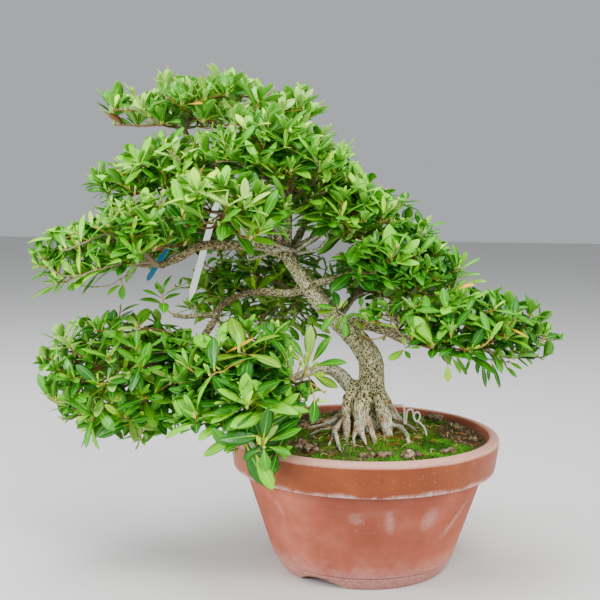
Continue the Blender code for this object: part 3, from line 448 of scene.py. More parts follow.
class Finish:
    """A node material under construction. Each method adds one node and returns its output."""

    def __init__(self, name, roughness=0.6, specular=0.5):
        self.material = bpy.data.materials.new(name)
        self.material.use_nodes = True
        self.tree = self.material.node_tree
        self.shader = self.tree.nodes["Principled BSDF"]
        self.shader.inputs["Roughness"].default_value = roughness
        self.shader.inputs["Specular IOR Level"].default_value = specular

    def node(self, kind, **settings):
        made = self.tree.nodes.new(kind)
        for key, value in settings.items():
            setattr(made, key, value)
        return made

    def feed(self, socket, value):
        if isinstance(value, bpy.types.NodeSocket):
            self.tree.links.new(value, socket)
        else:
            socket.default_value = value

    def place(self):
        return self.node("ShaderNodeTexCoord").outputs["Object"]

    def attribute(self, name, output="Fac"):
        return self.node("ShaderNodeAttribute", attribute_name=name).outputs[output]

    def noise(self, vector, scale, detail, roughness):
        made = self.node("ShaderNodeTexNoise")
        given = {"Vector": vector, "Scale": scale, "Detail": detail, "Roughness": roughness}
        for socket, value in given.items():
            self.feed(made.inputs[socket], value)
        return made.outputs["Fac"]

    def cell_edges(self, vector, scale):
        made = self.node("ShaderNodeTexVoronoi", feature="DISTANCE_TO_EDGE")
        self.feed(made.inputs["Vector"], vector)
        self.feed(made.inputs["Scale"], scale)
        return made.outputs["Distance"]

    def stretched(self, vector, scale):
        made = self.node("ShaderNodeMapping")
        self.feed(made.inputs["Vector"], vector)
        made.inputs["Scale"].default_value = scale
        return made.outputs["Vector"]

    def span(self, value, low, high, to_low=0.0, to_high=1.0):
        """The value carried from low..high to to_low..to_high, and held there beyond."""
        made = self.node("ShaderNodeMapRange")
        for socket, given in zip(made.inputs, (value, low, high, to_low, to_high)):
            self.feed(socket, given)
        return made.outputs["Result"]

    def maths(self, operation, a, b):
        made = self.node("ShaderNodeMath", operation=operation)
        self.feed(made.inputs[0], a)
        self.feed(made.inputs[1], b)
        return made.outputs[0]

    def mix(self, share, a, b):
        made = self.node("ShaderNodeMix", data_type="RGBA")
        self.feed(made.inputs["Factor"], share)
        self.feed(made.inputs["A"], a)
        self.feed(made.inputs["B"], b)
        return made.outputs["Result"]

    def tinted(self, colour, share, strength, *over):
        """The colour with another laid over it, by a share of at most `strength`."""
        return self.mix(self.maths("MULTIPLY", share, strength), colour, srgb(*over))

    def ramp(self, value, *stops):
        """A colour ramp through (place, red, green, blue) stops."""
        made = self.node("ShaderNodeValToRGB")
        points = made.color_ramp.elements
        while len(points) < len(stops):
            points.new(0.5)
        for point, (place, *shown) in zip(points, stops):
            point.position = place
            point.color = srgb(*shown)
        self.feed(made.inputs["Fac"], value)
        return made.outputs["Color"]

    def bump(self, height, depth, strength):
        made = self.node("ShaderNodeBump")
        made.inputs["Strength"].default_value = strength
        made.inputs["Distance"].default_value = depth
        self.feed(made.inputs["Height"], height)
        self.feed(self.shader.inputs["Normal"], made.outputs["Normal"])

    def colour(self, value):
        self.feed(self.shader.inputs["Base Color"], value)
        return self

    def roughness(self, value):
        self.feed(self.shader.inputs["Roughness"], value)
        return self


def plain(name, shown, roughness, specular=0.5):
    """One even colour, given as display values."""
    return Finish(name, roughness, specular).colour(srgb(*shown)).material


def terracotta_finish():
    """Fired clay. The collar is smooth and browner, the body pinker and more matt, and painted shade darkens
    the middle of the front. The crest, the collar's lower edge and the foot carry pale lime; painted shade
    also darkens the foot's groove and a band under the collar. Fine grains and turning lines run over all."""
    clay = Finish("fired_terracotta", 0.7, 0.35)
    place = clay.place()
    wide = clay.noise(place, 16, 3, 0.6)
    grain = clay.noise(place, 900, 2, 0.6)
    rings = clay.noise(clay.stretched(place, (3, 3, 420)), 1.0, 2, 0.6)
    body = clay.ramp(wide, (0.32, 142, 68, 45), (0.52, 164, 84, 60), (0.72, 190, 110, 86))
    body = clay.mix(clay.span(rings, 0.35, 0.75, 0.0, 0.35), body, srgb(174, 90, 68))
    collar = clay.ramp(wide, (0.3, 116, 48, 12), (0.55, 136, 62, 16), (0.75, 160, 80, 30))
    colour = clay.mix(clay.attribute("collar"), body, collar)
    # Painted shade darkens the middle of the body's front.
    colour = clay.tinted(colour, clay.attribute("damp"), 0.4, 112, 46, 22)
    colour = clay.mix(clay.attribute("inside"), colour, srgb(150, 88, 68))
    specks = clay.span(clay.noise(place, 420, 2, 0.7), 0.66, 0.74)
    colour = clay.tinted(colour, specks, 0.35, 222, 170, 150)
    pits = clay.span(clay.noise(place, 260, 1, 0.5), 0.25, 0.2)
    colour = clay.tinted(colour, pits, 0.5, 96, 48, 36)
    colour = clay.tinted(colour, clay.attribute("crest"), 0.5, 208, 156, 128)
    broken = clay.span(clay.noise(place, 260, 4, 0.8), 0.36, 0.64, 0.2, 1.0)
    colour = clay.tinted(colour, clay.attribute("lime"), broken, 214, 184, 180)
    # Painted shade darkens the foot's groove and a band under the collar.
    clay.colour(clay.tinted(colour, clay.attribute("dirt"), 0.8, 84, 50, 40))
    clay.roughness(clay.span(clay.attribute("collar"), 0, 1, 0.74, 0.44))
    height = clay.maths("ADD", clay.maths("MULTIPLY", grain, 0.5), clay.maths("MULTIPLY", rings, 0.6))
    clay.bump(height, 0.00035, 0.5)
    return clay.material


def bark_finish():
    """Thin grey-brown bark: a net of pale raised lines over dark olive pits, paler and in places
    earthy on the roots, browner on the boughs, with orange moss caught low down and painted shade
    darkening the fork under the crown."""
    bark = Finish("azalea_bark", 0.85, 0.25)
    along = bark.attribute("bark_place", "Vector")
    relief = bark.attribute("relief")
    net = bark.span(bark.cell_edges(along, 0.62), 0.03, 0.2, 1.0, 0.0)
    fine = bark.noise(along, 1.1, 3, 0.7)
    level = bark.maths("ADD", bark.maths("MULTIPLY", relief, 0.42), bark.maths("MULTIPLY", fine, 0.42))
    level = bark.maths("ADD", level, bark.maths("MULTIPLY", net, 0.42))
    old = bark.ramp(level, (0.3, 40, 36, 12), (0.46, 86, 80, 36), (0.6, 138, 130, 74),
                    (0.74, 214, 206, 152), (0.92, 252, 246, 210))
    root = bark.ramp(level, (0.28, 72, 58, 28), (0.42, 140, 126, 82), (0.58, 212, 204, 168),
                     (0.8, 248, 244, 226))
    twiggy = bark.ramp(level, (0.34, 46, 36, 22), (0.52, 92, 74, 48), (0.7, 140, 120, 84),
                       (0.9, 190, 176, 138))
    colour = bark.mix(bark.attribute("rootiness"), old, root)
    colour = bark.mix(bark.attribute("twigginess"), colour, twiggy)
    patches = bark.span(bark.noise(bark.place(), 45, 2, 0.6), 0.48, 0.66)
    colour = bark.tinted(colour, patches, 0.3, 98, 92, 46)
    earthy = bark.span(bark.noise(bark.place(), 130, 3, 0.7), 0.52, 0.64)
    earthy = bark.maths("MULTIPLY", earthy, bark.attribute("rootiness"))
    colour = bark.tinted(colour, earthy, 0.7, 104, 84, 36)
    # Painted shade: the fork under the crown is darkened.
    colour = bark.mix(bark.attribute("knuckle"), colour, srgb(52, 46, 30))
    colour = bark.mix(bark.attribute("stain"), colour, srgb(150, 106, 36))
    bark.colour(colour)
    bark.bump(level, 0.0011, 0.8)
    return bark.material


def soil_finish():
    """Moist gritty mix: dark brown with tan crumbs, a green carpet where moss covers it, and dry
    patches near the trunk."""
    soil = Finish("mossy_soil", 0.95, 0.15)
    place = soil.place()
    grit = soil.noise(place, 420, 4, 0.7)
    earth = soil.ramp(grit, (0.32, 26, 20, 13), (0.5, 70, 56, 34), (0.68, 142, 120, 80))
    tufts = soil.noise(place, 700, 3, 0.75)
    moss = soil.ramp(tufts, (0.3, 22, 46, 8), (0.5, 46, 98, 16), (0.7, 94, 150, 32))
    colour = soil.mix(soil.attribute("moss"), earth, moss)
    dry = soil.span(soil.noise(place, 150, 3, 0.7), 0.52, 0.66)
    soil.colour(soil.tinted(colour, dry, soil.attribute("dry"), 140, 98, 34))
    soil.bump(tufts, 0.0012, 0.9)
    return soil.material


def stone_finish():
    """Lumps and grains of the mix, mottled from dark brown to tan."""
    grit = Finish("crumbly_grit", 0.9, 0.2)
    place = grit.place()
    colour = grit.ramp(grit.noise(place, 190, 4, 0.75), (0.34, 38, 28, 20), (0.48, 92, 74, 56),
                       (0.57, 136, 116, 90), (0.7, 198, 184, 158))
    grit.colour(colour)
    grit.bump(grit.noise(place, 800, 2, 0.7), 0.0005, 0.8)
    return grit.material


def label_finish(name, colour, worn, painted_glow=0.0):
    """Moulded plastic, faintly soiled and rubbed. The emission strength is painted light: a glow of the
    plastic's own colour that brightens a strip standing in shade."""
    plastic = Finish(name, 0.42, 0.5)
    # Painted light: an emission of the plastic's own colour.
    plastic.shader.inputs["Emission Color"].default_value = colour
    plastic.shader.inputs["Emission Strength"].default_value = painted_glow
    place = plastic.place()
    rubbed = plastic.span(plastic.noise(place, 90, 4, 0.7), 0.5, 0.75, 0.0, 0.5)
    plastic.colour(plastic.mix(rubbed, colour, worn))
    plastic.roughness(plastic.span(plastic.noise(place, 300, 2, 0.6), 0.3, 0.7, 0.34, 0.55))
    return plastic.material


# ---- the pot
def rounded(profile, size, steps=4):
    """A closed outline with every corner turned into a quadratic curve that starts and ends `size`
    from it, or a third of the way along a shorter side."""
    profile = np.array(profile, float)
    made = []
    for before, corner, after in zip(np.roll(profile, 1, 0), profile, np.roll(profile, -1, 0)):
        start = corner + (before - corner) * min(size / np.linalg.norm(before - corner), 0.33)
        end = corner + (after - corner) * min(size / np.linalg.norm(after - corner), 0.33)
        t = np.linspace(0, 1, steps)[:, None]
        made.append((1 - t) ** 2 * start + 2 * t * (1 - t) * corner + t**2 * end)
    return np.vstack(made)


def spaced(profile, step):
    """A closed outline with points put in so that none is farther than `step` from the next."""
    made = []
    for a, b in zip(profile, np.roll(profile, -1, 0)):
        count = max(1, math.ceil(np.linalg.norm(b - a) / step))
        made.append(a + (b - a) * (np.arange(count) / count)[:, None])
    return np.vstack(made)


def notch_height(bearing):
    """How high the foot is cut away at each bearing: arcs of a circle with NOTCH_WIDTH as their chord
    and NOTCH_HEIGHT as their height."""
    radius = (NOTCH_WIDTH**2 / 4 + NOTCH_HEIGHT**2) / (2 * NOTCH_HEIGHT)
    cut = np.zeros_like(bearing)
    for middle in NOTCHES:
        away = np.radians((np.degrees(bearing) - middle + 180) % 360 - 180) * FOOT_RADIUS
        rise = np.sqrt(np.maximum(radius**2 - away**2, 0)) - radius + NOTCH_HEIGHT
        cut = np.maximum(cut, np.where(np.abs(away) < NOTCH_WIDTH, rise, 0))
    return cut


# Pale rubs on the body's front: (strength, place, half-lengths, how many degrees it leans).
SCUFFS = (
    (0.31, (-6, 78), (9, 7), 0), (0.372, (25, 74), (15, 5), 92), (0.341, (62, 74), (15, 8), 60),
    (0.372, (88, 66), (26, 1.9), 55), (0.217, (80, 58), (20, 2.2), 50), (0.248, (-78, 76), (11, 3), 118),
    (0.062, (8, 84), (40, 4), 4),
)


def smear(x, z, at, size, lean):
    """A soft oval spot, 1 in its middle and 0 at its edge, leaning by an angle."""
    dx, dz = x - at[0], z - at[1]
    turn = math.radians(lean)
    along = dx * math.cos(turn) + dz * math.sin(turn)
    across = -dx * math.sin(turn) + dz * math.cos(turn)
    return np.clip(1 - (along / size[0]) ** 2 - (across / size[1]) ** 2, 0, 1)


POT_COLUMNS = 300


def make_pot():
    """The outline of the wall turned round the axis, (r cos a, r sin a, z). The foot's lowest points
    rise along the wall over each notch, and the radius wavers by a quarter of a millimetre."""
    outline = (
        (CREST_RADIUS, CREST_Z), (133.4, 134.2), (RIM_RADIUS, 130.6), (131.0, 102.6), (129.0, 101.9),
        (120.6, 101.3), (91.5, 13.9), (89.9, 13.1), (90.2, 12.0), (82.4, 0.0), (74.6, 0.0),
        (73.4, UNDERSIDE_Z), (11.0, UNDERSIDE_Z), (11.0, FLOOR_Z), (84.0, FLOOR_Z), (112.5, 98.0),
        (123.4, 130.0), (124.4, 134.8),
    )
    profile = spaced(rounded(outline, 1.8), 2.2)
    columns = POT_COLUMNS
    bearing = np.radians(np.arange(columns) * 360 / columns)
    r, a = np.repeat(profile[:, :1], columns, 1), np.repeat(bearing[None], len(profile), 0)
    z = np.repeat(profile[:, 1:], columns, 1)
    cut = notch_height(a)
    foot = (z < UNDERSIDE_Z) & (r > 73)
    raised = np.where(foot, cut + z * (1 - cut / 12.0), z)
    r = np.where(foot & (r > FOOT_RADIUS), r + (raised - z) * 0.62, r)
    z = np.where(foot, np.minimum(raised, 11.5), z)
    around = np.stack([np.cos(a), np.sin(a)], -1)
    ring = np.concatenate([around * r[..., None], z[..., None]], -1).reshape(-1, 3)
    r, z, a = r.ravel(), z.ravel(), a.ravel()
    wobble = 0.5 * (cloud(ring, 38) - 0.5) + 0.16 * (cloud(np.column_stack([a * 0, a * 2, z]), 3.2) - 0.5)
    ring[:, :2] *= (1 + wobble / np.maximum(r, 30))[:, None] ** (z > 9)[:, None]
    outside = r > np.interp(z, [0, 13, 101, 102, 137], [77, 87, 116.5, 126, 126.8])
    wavy = (cloud(ring, 17) - 0.5) * 3 + (cloud(ring, 5) - 0.5) * 2
    on_collar = outside & (z > COLLAR_Z)
    collar = on_collar * np.clip((131.6 - z + wavy * 0.2) / 1.4, 0, 1) * np.clip((z - 101) / 1.5, 0, 1)
    crest = np.clip((z - 130.2 + wavy * 0.3) / 1.6, 0, 1) * (r > 125.2)
    under_collar = on_collar * np.clip(1 - (z - 101.8) / np.maximum(4.4 + 1.8 * wavy, 0.8), 0, 1)
    haze = outside * np.clip(1 - (z - 13) / (17 + 5 * wavy), 0, 1) * (z > 12.5) * 0.4
    foot_haze = outside * (z < 12.5) * 0.45
    x = ring[:, 0]
    front = outside & (ring[:, 1] < 0)
    scuffs = front * sum(strength * smear(x, z, *spot) for strength, *spot in SCUFFS)
    lime = np.clip(0.4 * crest + 1.3 * under_collar + haze + foot_haze + scuffs, 0, 1)
    inside = ~outside & (z > 14) & (r > 80) & (z < 131)
    # Painted shade: the foot's groove and a band under the collar are darkened by the finish.
    in_foot_groove = np.clip(1 - np.abs(z - 13.2) / 0.9, 0, 1)
    below_collar = (z < 101.6) * np.clip((z - 92) / 9, 0, 1)
    dirt = outside * (in_foot_groove + 0.5 * below_collar)
    # Painted shade: the middle of the front is darkened, most of all above the foot.
    damp = front * np.exp(-(((x - 6) / 52) ** 2)) * np.clip((z - 14) / 40, 0.3, 1)
    faces = grid_faces(len(profile), columns, closed_rows=True)[:, ::-1]
    mesh = mesh_of("terracotta_pot", ring, *faces_of(faces), collar=collar, lime=lime, damp=damp,
                   crest=crest, inside=inside, dirt=dirt)
    new_piece("terracotta_pot", mesh, [terracotta_finish()], "terracotta", "pot")


# ---- the soil and what lies on it
def on_plane(x, y):
    """Places on the plane as points."""
    return np.column_stack([x, y, np.zeros_like(x)])


def moss_cover(x, y):
    """How much moss covers a place: full on the right and in front, thin on the left, none along the
    right rim, with a cloudy edge."""
    flat = on_plane(x, y)
    reach = 0.62 + x / 150 - y / 420 + 1.5 * (cloud(flat, 26) - 0.5) + 0.7 * (cloud(flat, 8) - 0.5)
    bare = np.clip((np.hypot(x - 118, y - 8) - 44) / 8, 0, 1)
    edge = np.clip((120 - np.hypot(x, y)) / 6, 0, 1)
    return np.clip(reach, 0, 1) * bare * edge


def soil_height(x, y):
    """The mound: level round the trunk, falling to the rim, with cushions and fine tufts."""
    flat, reach = on_plane(x, y), np.hypot(x, y)
    mound = np.interp(reach, [0, MOUND_RADIUS - 14, MOUND_RADIUS + 20, 123], [137.4, 137.2, 133.6, 127.6])
    cover = moss_cover(x, y)
    fade = np.clip((123 - reach) / 8, 0, 1)
    cushions = 3.0 * (cloud(flat, 21) - 0.5) + 1.6 * (cloud(flat, 9) - 0.5)
    tufts = 0.9 * ridge(flat, 3.4) + 0.5 * cloud(flat, 1.7)
    crumbs = 1.5 * (cloud(flat, 5.0) - 0.5) + 1.0 * (cloud(flat, 2.4) - 0.5)
    return mound + fade * (cushions + cover * (tufts - 0.5) + (1 - cover) * crumbs)


def ground_at(x, y):
    """The soil's height at one place."""
    return soil_height(np.array([float(x)]), np.array([float(y)]))[0]


SOIL_COLUMNS, SOIL_ROWS = 420, 118


def make_soil(finish):
    """A round sheet of rings, (r cos a, r sin a, height), that turns down at the wall and closes at
    the bottom of the pot."""
    columns = SOIL_COLUMNS
    bearing = 2 * math.pi * np.arange(columns) / columns
    radii = np.linspace(1.2, 122.4, SOIL_ROWS)
    r, a = [v.ravel() for v in np.meshgrid(radii, bearing, indexing="ij")]
    x, y = r * np.cos(a), r * np.sin(a)
    top = np.column_stack([x, y, soil_height(x, y)])
    lower = [np.column_stack([w * np.cos(bearing), w * np.sin(bearing), np.full(columns, h)])
             for w, h in ((122.2, 126.6), (112.1, 98.0), (83.5, 15.4))]
    points = np.vstack([top, *lower, (0, 0, ground_at(0, 0)), (0, 0, 15.4)])
    rows = len(radii) + len(lower)
    middle = cap(len(points) - 2, 0, columns)
    floor = cap(len(points) - 1, (rows - 1) * columns, columns, turned=True)
    faces = faces_of(grid_faces(rows, columns)[:, ::-1], middle, floor)
    dry = np.clip(1.15 - np.hypot(points[:, 0] - 5, points[:, 1]) / 62, 0.12, 1)
    mesh = mesh_of("mossy_soil", points, *faces, moss=moss_cover(points[:, 0], points[:, 1]), dry=dry)
    new_piece("mossy_soil", mesh, [finish], "potting_mix", "soil")


MOSS_TRIES = 52000
MOSS_SHADES = (
    ("moss_deep", (42, 86, 14), 0.8, 0.2), ("moss_green", (66, 132, 20), 0.8, 0.2),
    ("moss_bright", (104, 172, 36), 0.8, 0.2), ("moss_dry", (164, 118, 52), 0.85, 0.2),
)


def make_moss(rng):
    """Thousands of upright moss shoots, each two small faces leaning their own way, thickest where
    the cover is full."""
    count = MOSS_TRIES
    r, a = 121 * np.sqrt(rng.random(count)), rng.uniform(0, 2 * math.pi, count)
    x, y = r * np.cos(a), r * np.sin(a)
    cover = moss_cover(x, y)
    keep = rng.random(count) < cover * 0.6
    x, y, cover = x[keep], y[keep], cover[keep]
    count = len(x)
    foot = np.column_stack([x, y, soil_height(x, y) - 0.3])
    turn = rng.uniform(0, 2 * math.pi, count)
    side = np.column_stack([np.cos(turn), np.sin(turn), np.zeros(count)]) * rng.uniform(0.3, 0.55, (count, 1))
    lean = rng.normal(size=(count, 3)) * (0.45, 0.45, 0.1)
    top = foot + (lean + (0, 0, 1)) * rng.uniform(1.2, 2.5, (count, 1))
    fold = np.column_stack([-side[:, 1], side[:, 0], np.zeros(count)]) * 0.7
    points = np.stack([foot - side, foot + fold, foot + side, top], 1).reshape(-1, 3)
    corners = (np.array([0, 1, 3, 1, 2, 3])[None] + 4 * np.arange(count)[:, None]).ravel()
    patch = cloud(on_plane(x, y), 15) + rng.normal(size=count) * 0.13
    yellow = np.hypot(x - 5, y) < 40 + rng.normal(size=count) * 8
    kind = np.where(patch > 0.62, 2, np.where(patch > 0.42, 1, 0))
    kind = np.where(yellow & (rng.random(count) < 0.5), 3, kind)
    mesh = mesh_of("moss_shoots", points, corners, np.full(2 * count, 3), np.repeat(kind, 2), smooth=False)
    new_piece("moss_shoots", mesh, [plain(*shade) for shade in MOSS_SHADES], "potting_mix")


def pebble(at, size, seed):
    """A ball grid whose radius is moved by noise: (sin b cos a, sin b sin a, cos b) times the size,
    a little narrower one way and flatter."""
    rows, columns = 7, 10
    b = np.repeat(np.linspace(0.32, math.pi - 0.32, rows), columns)
    a = np.tile(2 * math.pi * np.arange(columns) / columns, rows)
    ball = np.column_stack([np.sin(b) * np.cos(a), np.sin(b) * np.sin(a), np.cos(b)])
    ball = np.vstack([ball, (0, 0, 1), (0, 0, -1)])
    ball *= (0.72 + 0.62 * cloud(ball + seed * 7.3, 0.62))[:, None]
    points = np.asarray(at) + ball * (size, size * 0.86, size * 0.75)
    count = rows * columns
    ends = cap(count, 0, columns), cap(count + 1, count - columns, columns, turned=True)
    return points, *faces_of(grid_faces(rows, columns)[:, ::-1], *ends)


# Lumps of mix that stand out of the surface: (x, y, half-width).
LUMPS = (
    (-60, -64, 7.5), (-52, -74, 6.5), (-46, -80, 4.5), (0, -95, 4.6), (8, -92, 4.0), (17, -92, 5.6),
    (24, -90, 4.0), (41, -86, 7.0), (50, -82, 4.6), (76, -64, 4.2), (84, -56, 5.0), (73, 70, 9.5),
    (88, 52, 5.0), (96, 34, 4.4), (108, -10, 4.6), (104, 18, 4.0), (-88, 44, 6.0), (-70, 76, 5.0),
    (20, 96, 6.0), (-30, 104, 5.0), (-100, -8, 5.0),
)
GRIT_TRIES = 330


def make_litter(rng, finish):
    """The lumps, and finer grit along the wall and in bare places."""
    stones = [pebble((x, y, ground_at(x, y) + size * 0.25), size, k) for k, (x, y, size) in enumerate(LUMPS)]
    for k in range(GRIT_TRIES):
        r, a = 121.5 * math.sqrt(rng.uniform(0.2, 1)), rng.uniform(0, 2 * math.pi)
        x, y = r * math.cos(a), r * math.sin(a)
        size = rng.uniform(0.9, 2.6)
        if moss_cover(np.array([x]), np.array([y]))[0] < 0.45 and r + size < 121.8:
            stones.append(pebble((x, y, ground_at(x, y) + size * 0.2), size, k + 60))
    points, corners, sides, _ = joined(stones)
    new_piece("soil_lumps", mesh_of("soil_lumps", points, corners, sides), [finish], "potting_mix")


# Dry flakes: (x, y, degrees turned, length).
FLAKES = (
    (51, -39, 20, 9.0), (95, 26, 70, 10.0), (97, 3, 160, 9.0), (100, -12, 40, 5.0), (-30, -56, 110, 8.0),
    (70, 20, 30, 6.0), (30, -74, 10, 5.0), (-72, -30, 75, 7.0), (-20, 80, 20, 8.0), (60, 74, 120, 7.0),
)


def make_flakes(finish):
    """Dry slips of leaf: a narrow strip bent along its length, its width a half sine."""
    parts = []
    for x, y, turn, length in FLAKES:
        u, v = np.repeat(np.linspace(0, 1, 8), 4), np.tile(np.linspace(-1, 1, 4), 8)
        wide = length * 0.17 * np.sin(math.pi * np.clip(u, 0.06, 0.94))
        strip = np.column_stack([(u - 0.5) * length, v * wide, 1.3 * np.sin(math.pi * u) + 0.5 * v * v])
        under = strip - (0, 0, 0.35)
        spin = math.radians(turn)
        c, d = math.cos(spin), math.sin(spin)
        turned = np.array([[c, d, 0], [-d, c, 0], [0, 0, 1]])
        points = np.vstack([strip, under]) @ turned + (x, y, ground_at(x, y) + 1.6)
        top = grid_faces(8, 4, closed_columns=False)[:, ::-1]
        edge = np.concatenate([np.arange(0, 32, 4), [29, 30, 31], np.arange(27, 2, -4), [2, 1]])
        rim = np.stack([np.roll(edge, -1), edge, edge + 32, np.roll(edge, -1) + 32], 1)
        parts.append((points, *faces_of(top, top[:, ::-1] + 32, rim)))
    points, corners, sides, _ = joined(parts)
    new_piece("dry_flakes", mesh_of("dry_flakes", points, corners, sides), [finish], "bark")


# Thin roots that run over the surface: (x, y) places and a radius.
ROOTLETS = (
    (((-28, 36), (-42, 44), (-56, 42), (-66, 46)), 1.5), (((-26, 12), (-34, 9), (-44, 8), (-54, 4)), 1.2),
    (((-24, -16), (-32, -15), (-40, -14)), 1.5), (((-28, -20), (-30, -38), (-25, -54), (-22, -70)), 0.9),
    (((20, 8), (30, 22), (38, 8), (41, -8), (43, -24)), 1.6), (((24, 40), (32, 58), (38, 70)), 1.6),
    (((-12, -52), (-6, -64), (8, -66)), 0.6), (((44, 12), (56, 8), (66, 12)), 0.8),
    (((-46, 30), (-60, 20), (-72, 22)), 0.8), (((10, 44), (4, 62), (14, 78)), 1.3),
    (((-40, 14), (-58, 6), (-70, -6)), 0.7), (((36, -40), (48, -48), (60, -46)), 0.6),
)


STRANDS = 620
STRAND_SHADES = (
    ("pale_root", (204, 190, 154), 0.8, 0.2), ("brown_strand", (120, 82, 38), 0.85, 0.2),
    ("orange_strand", (160, 108, 46), 0.85, 0.2), ("straw_strand", (196, 170, 104), 0.85, 0.2),
)


def make_rootlets(rng):
    """Surface roots and dry moss strands: thin rings carried along paths that follow the soil."""
    parts = []
    for places, radius in ROOTLETS:
        path = smooth_path([(*place, 0, 0) for place in places], 3.0)[:, :2]
        sway = cloud(np.column_stack([path, np.full(len(path), radius * 9)]), 7) - 0.5
        path = path + sway[:, None] * (3.0, -2.4)
        t = np.linspace(0, 1, len(path))
        height = soil_height(path[:, 0], path[:, 1]) + radius * (0.6 - 1.5 * t**4)
        line = np.column_stack([path, height, radius * (1 - 0.62 * t)])
        parts.append((*tube(line, 6), 0))
    for _ in range(STRANDS):
        reach = rng.uniform(14, 66) if rng.random() < 0.85 else rng.uniform(60, 112)
        bearing = rng.uniform(0, 2 * math.pi)
        start = np.array([5 + reach * math.cos(bearing), reach * math.sin(bearing)])
        heading = rng.uniform(0, 2 * math.pi) + np.cumsum(rng.normal(size=6) * 0.55)
        steps = np.column_stack([np.cos(heading), np.sin(heading)]) * rng.uniform(1.2, 2.6)
        path = start + np.cumsum(steps, axis=0)
        path = path[np.hypot(path[:, 0], path[:, 1]) < 118]
        if len(path) < 4:
            continue
        arch = np.sin(np.linspace(0, math.pi, len(path))) * rng.uniform(0.6, 2.6)
        height = soil_height(path[:, 0], path[:, 1]) + arch + 0.2
        radius = np.full(len(path), rng.uniform(0.2, 0.46))
        kind = int(rng.choice(4, p=(0.12, 0.28, 0.36, 0.24)))
        parts.append((*tube(np.column_stack([path, height, radius]), 4), kind))
    points, corners, sides, kinds = joined(parts)
    mesh = mesh_of("surface_roots", points, corners, sides, kinds)
    new_piece("surface_roots", mesh, [plain(*shade) for shade in STRAND_SHADES], "bark")


# ---- trunk and boughs
def nearest_limb(points, lines):
    """For every point: which path is nearest measured from its skin, the distance along it, and the
    direction out of it in the path's carried frame."""
    best = np.full(len(points), 1e9)
    which, along, outward = np.zeros(len(points), int), np.zeros(len(points)), np.zeros((len(points), 2))
    for number, line in enumerate(lines):
        _, across, up = carried_frames(line)
        start, step = line[:-1, :3], np.diff(line[:, :3], axis=0)
        length = np.linalg.norm(step, axis=1)
        begun = np.concatenate([[0], np.cumsum(length)[:-1]])
        for k in range(len(step)):
            t = np.clip((points - start[k]) @ step[k] / length[k] ** 2, 0, 1)
            off = points - start[k] - t[:, None] * step[k]
            radius = line[k, 3] + t * (line[k + 1, 3] - line[k, 3])
            gap = np.linalg.norm(off, axis=1) - radius
            closer = gap < best
            best[closer] = gap[closer]
            which[closer] = number
            along[closer] = begun[k] + t[closer] * length[k]
            side = across[k] + t[closer, None] * (across[k + 1] - across[k])
            rise = up[k] + t[closer, None] * (up[k + 1] - up[k])
            outward[closer] = np.stack([np.einsum("ij,ij->i", off[closer], side),
                                        np.einsum("ij,ij->i", off[closer], rise)], 1)
    return which, along, unit(outward + 1e-9)


def bark_place(outward, along, radius, number):
    """Where a point of a limb lies in the bark's own pattern: round it in millimetres, and along it
    at under half its length, so that the pits come out long."""
    return np.column_stack([outward * radius[:, None], along * 0.42 + 40.0 * number])


def bark_relief(place):
    """A net of raised winding lines, 1 on a line and 0 in the long pits between them, broken up by
    finer noise."""
    bent = place + 1.1 * drift(place, 3.2, 17)
    net = 1 - np.clip(cracks(bent, 1.9) / 0.5, 0, 1)
    return np.clip(0.72 * net + 0.5 * (cloud(place, 1.3) - 0.5) + 0.35 * (cloud(place, 9) - 0.5) + 0.1, 0, 1)


def melted(points, faces, rounds):
    """Each point drawn halfway to the mean of its neighbours, time after time."""
    here, there = faces.T.ravel(), np.roll(faces, -1, axis=1).T.ravel()
    count = np.bincount(here, minlength=len(points))
    for _ in range(rounds):
        total = np.stack([np.bincount(here, points[there, k], len(points)) for k in range(3)], 1)
        points = points + 0.5 * (total / count[:, None] - points)
    return points


def vertex_normals(points, faces):
    """The mean of the normals of each point's quads, which are the cross products of their diagonals."""
    crossed = np.cross(points[faces[:, 2]] - points[faces[:, 0]], points[faces[:, 3]] - points[faces[:, 1]])
    normal = np.zeros_like(points)
    for corner in range(4):
        for axis in range(3):
            normal[:, axis] += np.bincount(faces[:, corner], crossed[:, axis], len(points))
    return unit(normal + 1e-12)


TRUNK_LIMBS = ("low_front_bough", "right_bough", "right_stub")
TRUNK_GRAIN = 0.78   # the side of the cubes that the trunk's skin is made on
MELTING_ROUNDS = 5
TRUNK_GIRTH, LEAST_GIRTH, BOUGH_GIRTH = 12.5, 4.0, 5.0   # the radii that the bark's pattern is wound on
BOUGH_STEP, BOUGH_SIDES, TWIG_SIDES = 1.3, 20, 8
# Swellings at the forks: (from, to, radius).
KNOTS = (
    ((-84, 6, 318), (-96, 10, 322), 6.2), ((-74, -8, 306), (-76, -15, 309), 3.6),
    ((-58, -16, 283), (-58, -20, 284), 3.2), ((-22, -16, 245), (-23, -21, 244), 4.4),
    ((10, -10, 176), (14, -14, 172), 6.5), ((-12, -8, 174), (-15, -12, 170), 5.0),
)


def knuckle_shade(points):
    """How much painted shade darkens the crowded fork under the crown."""
    return np.clip(1.25 - np.linalg.norm(points - (-80, 0, 317), axis=1) / 13, 0, 0.75)


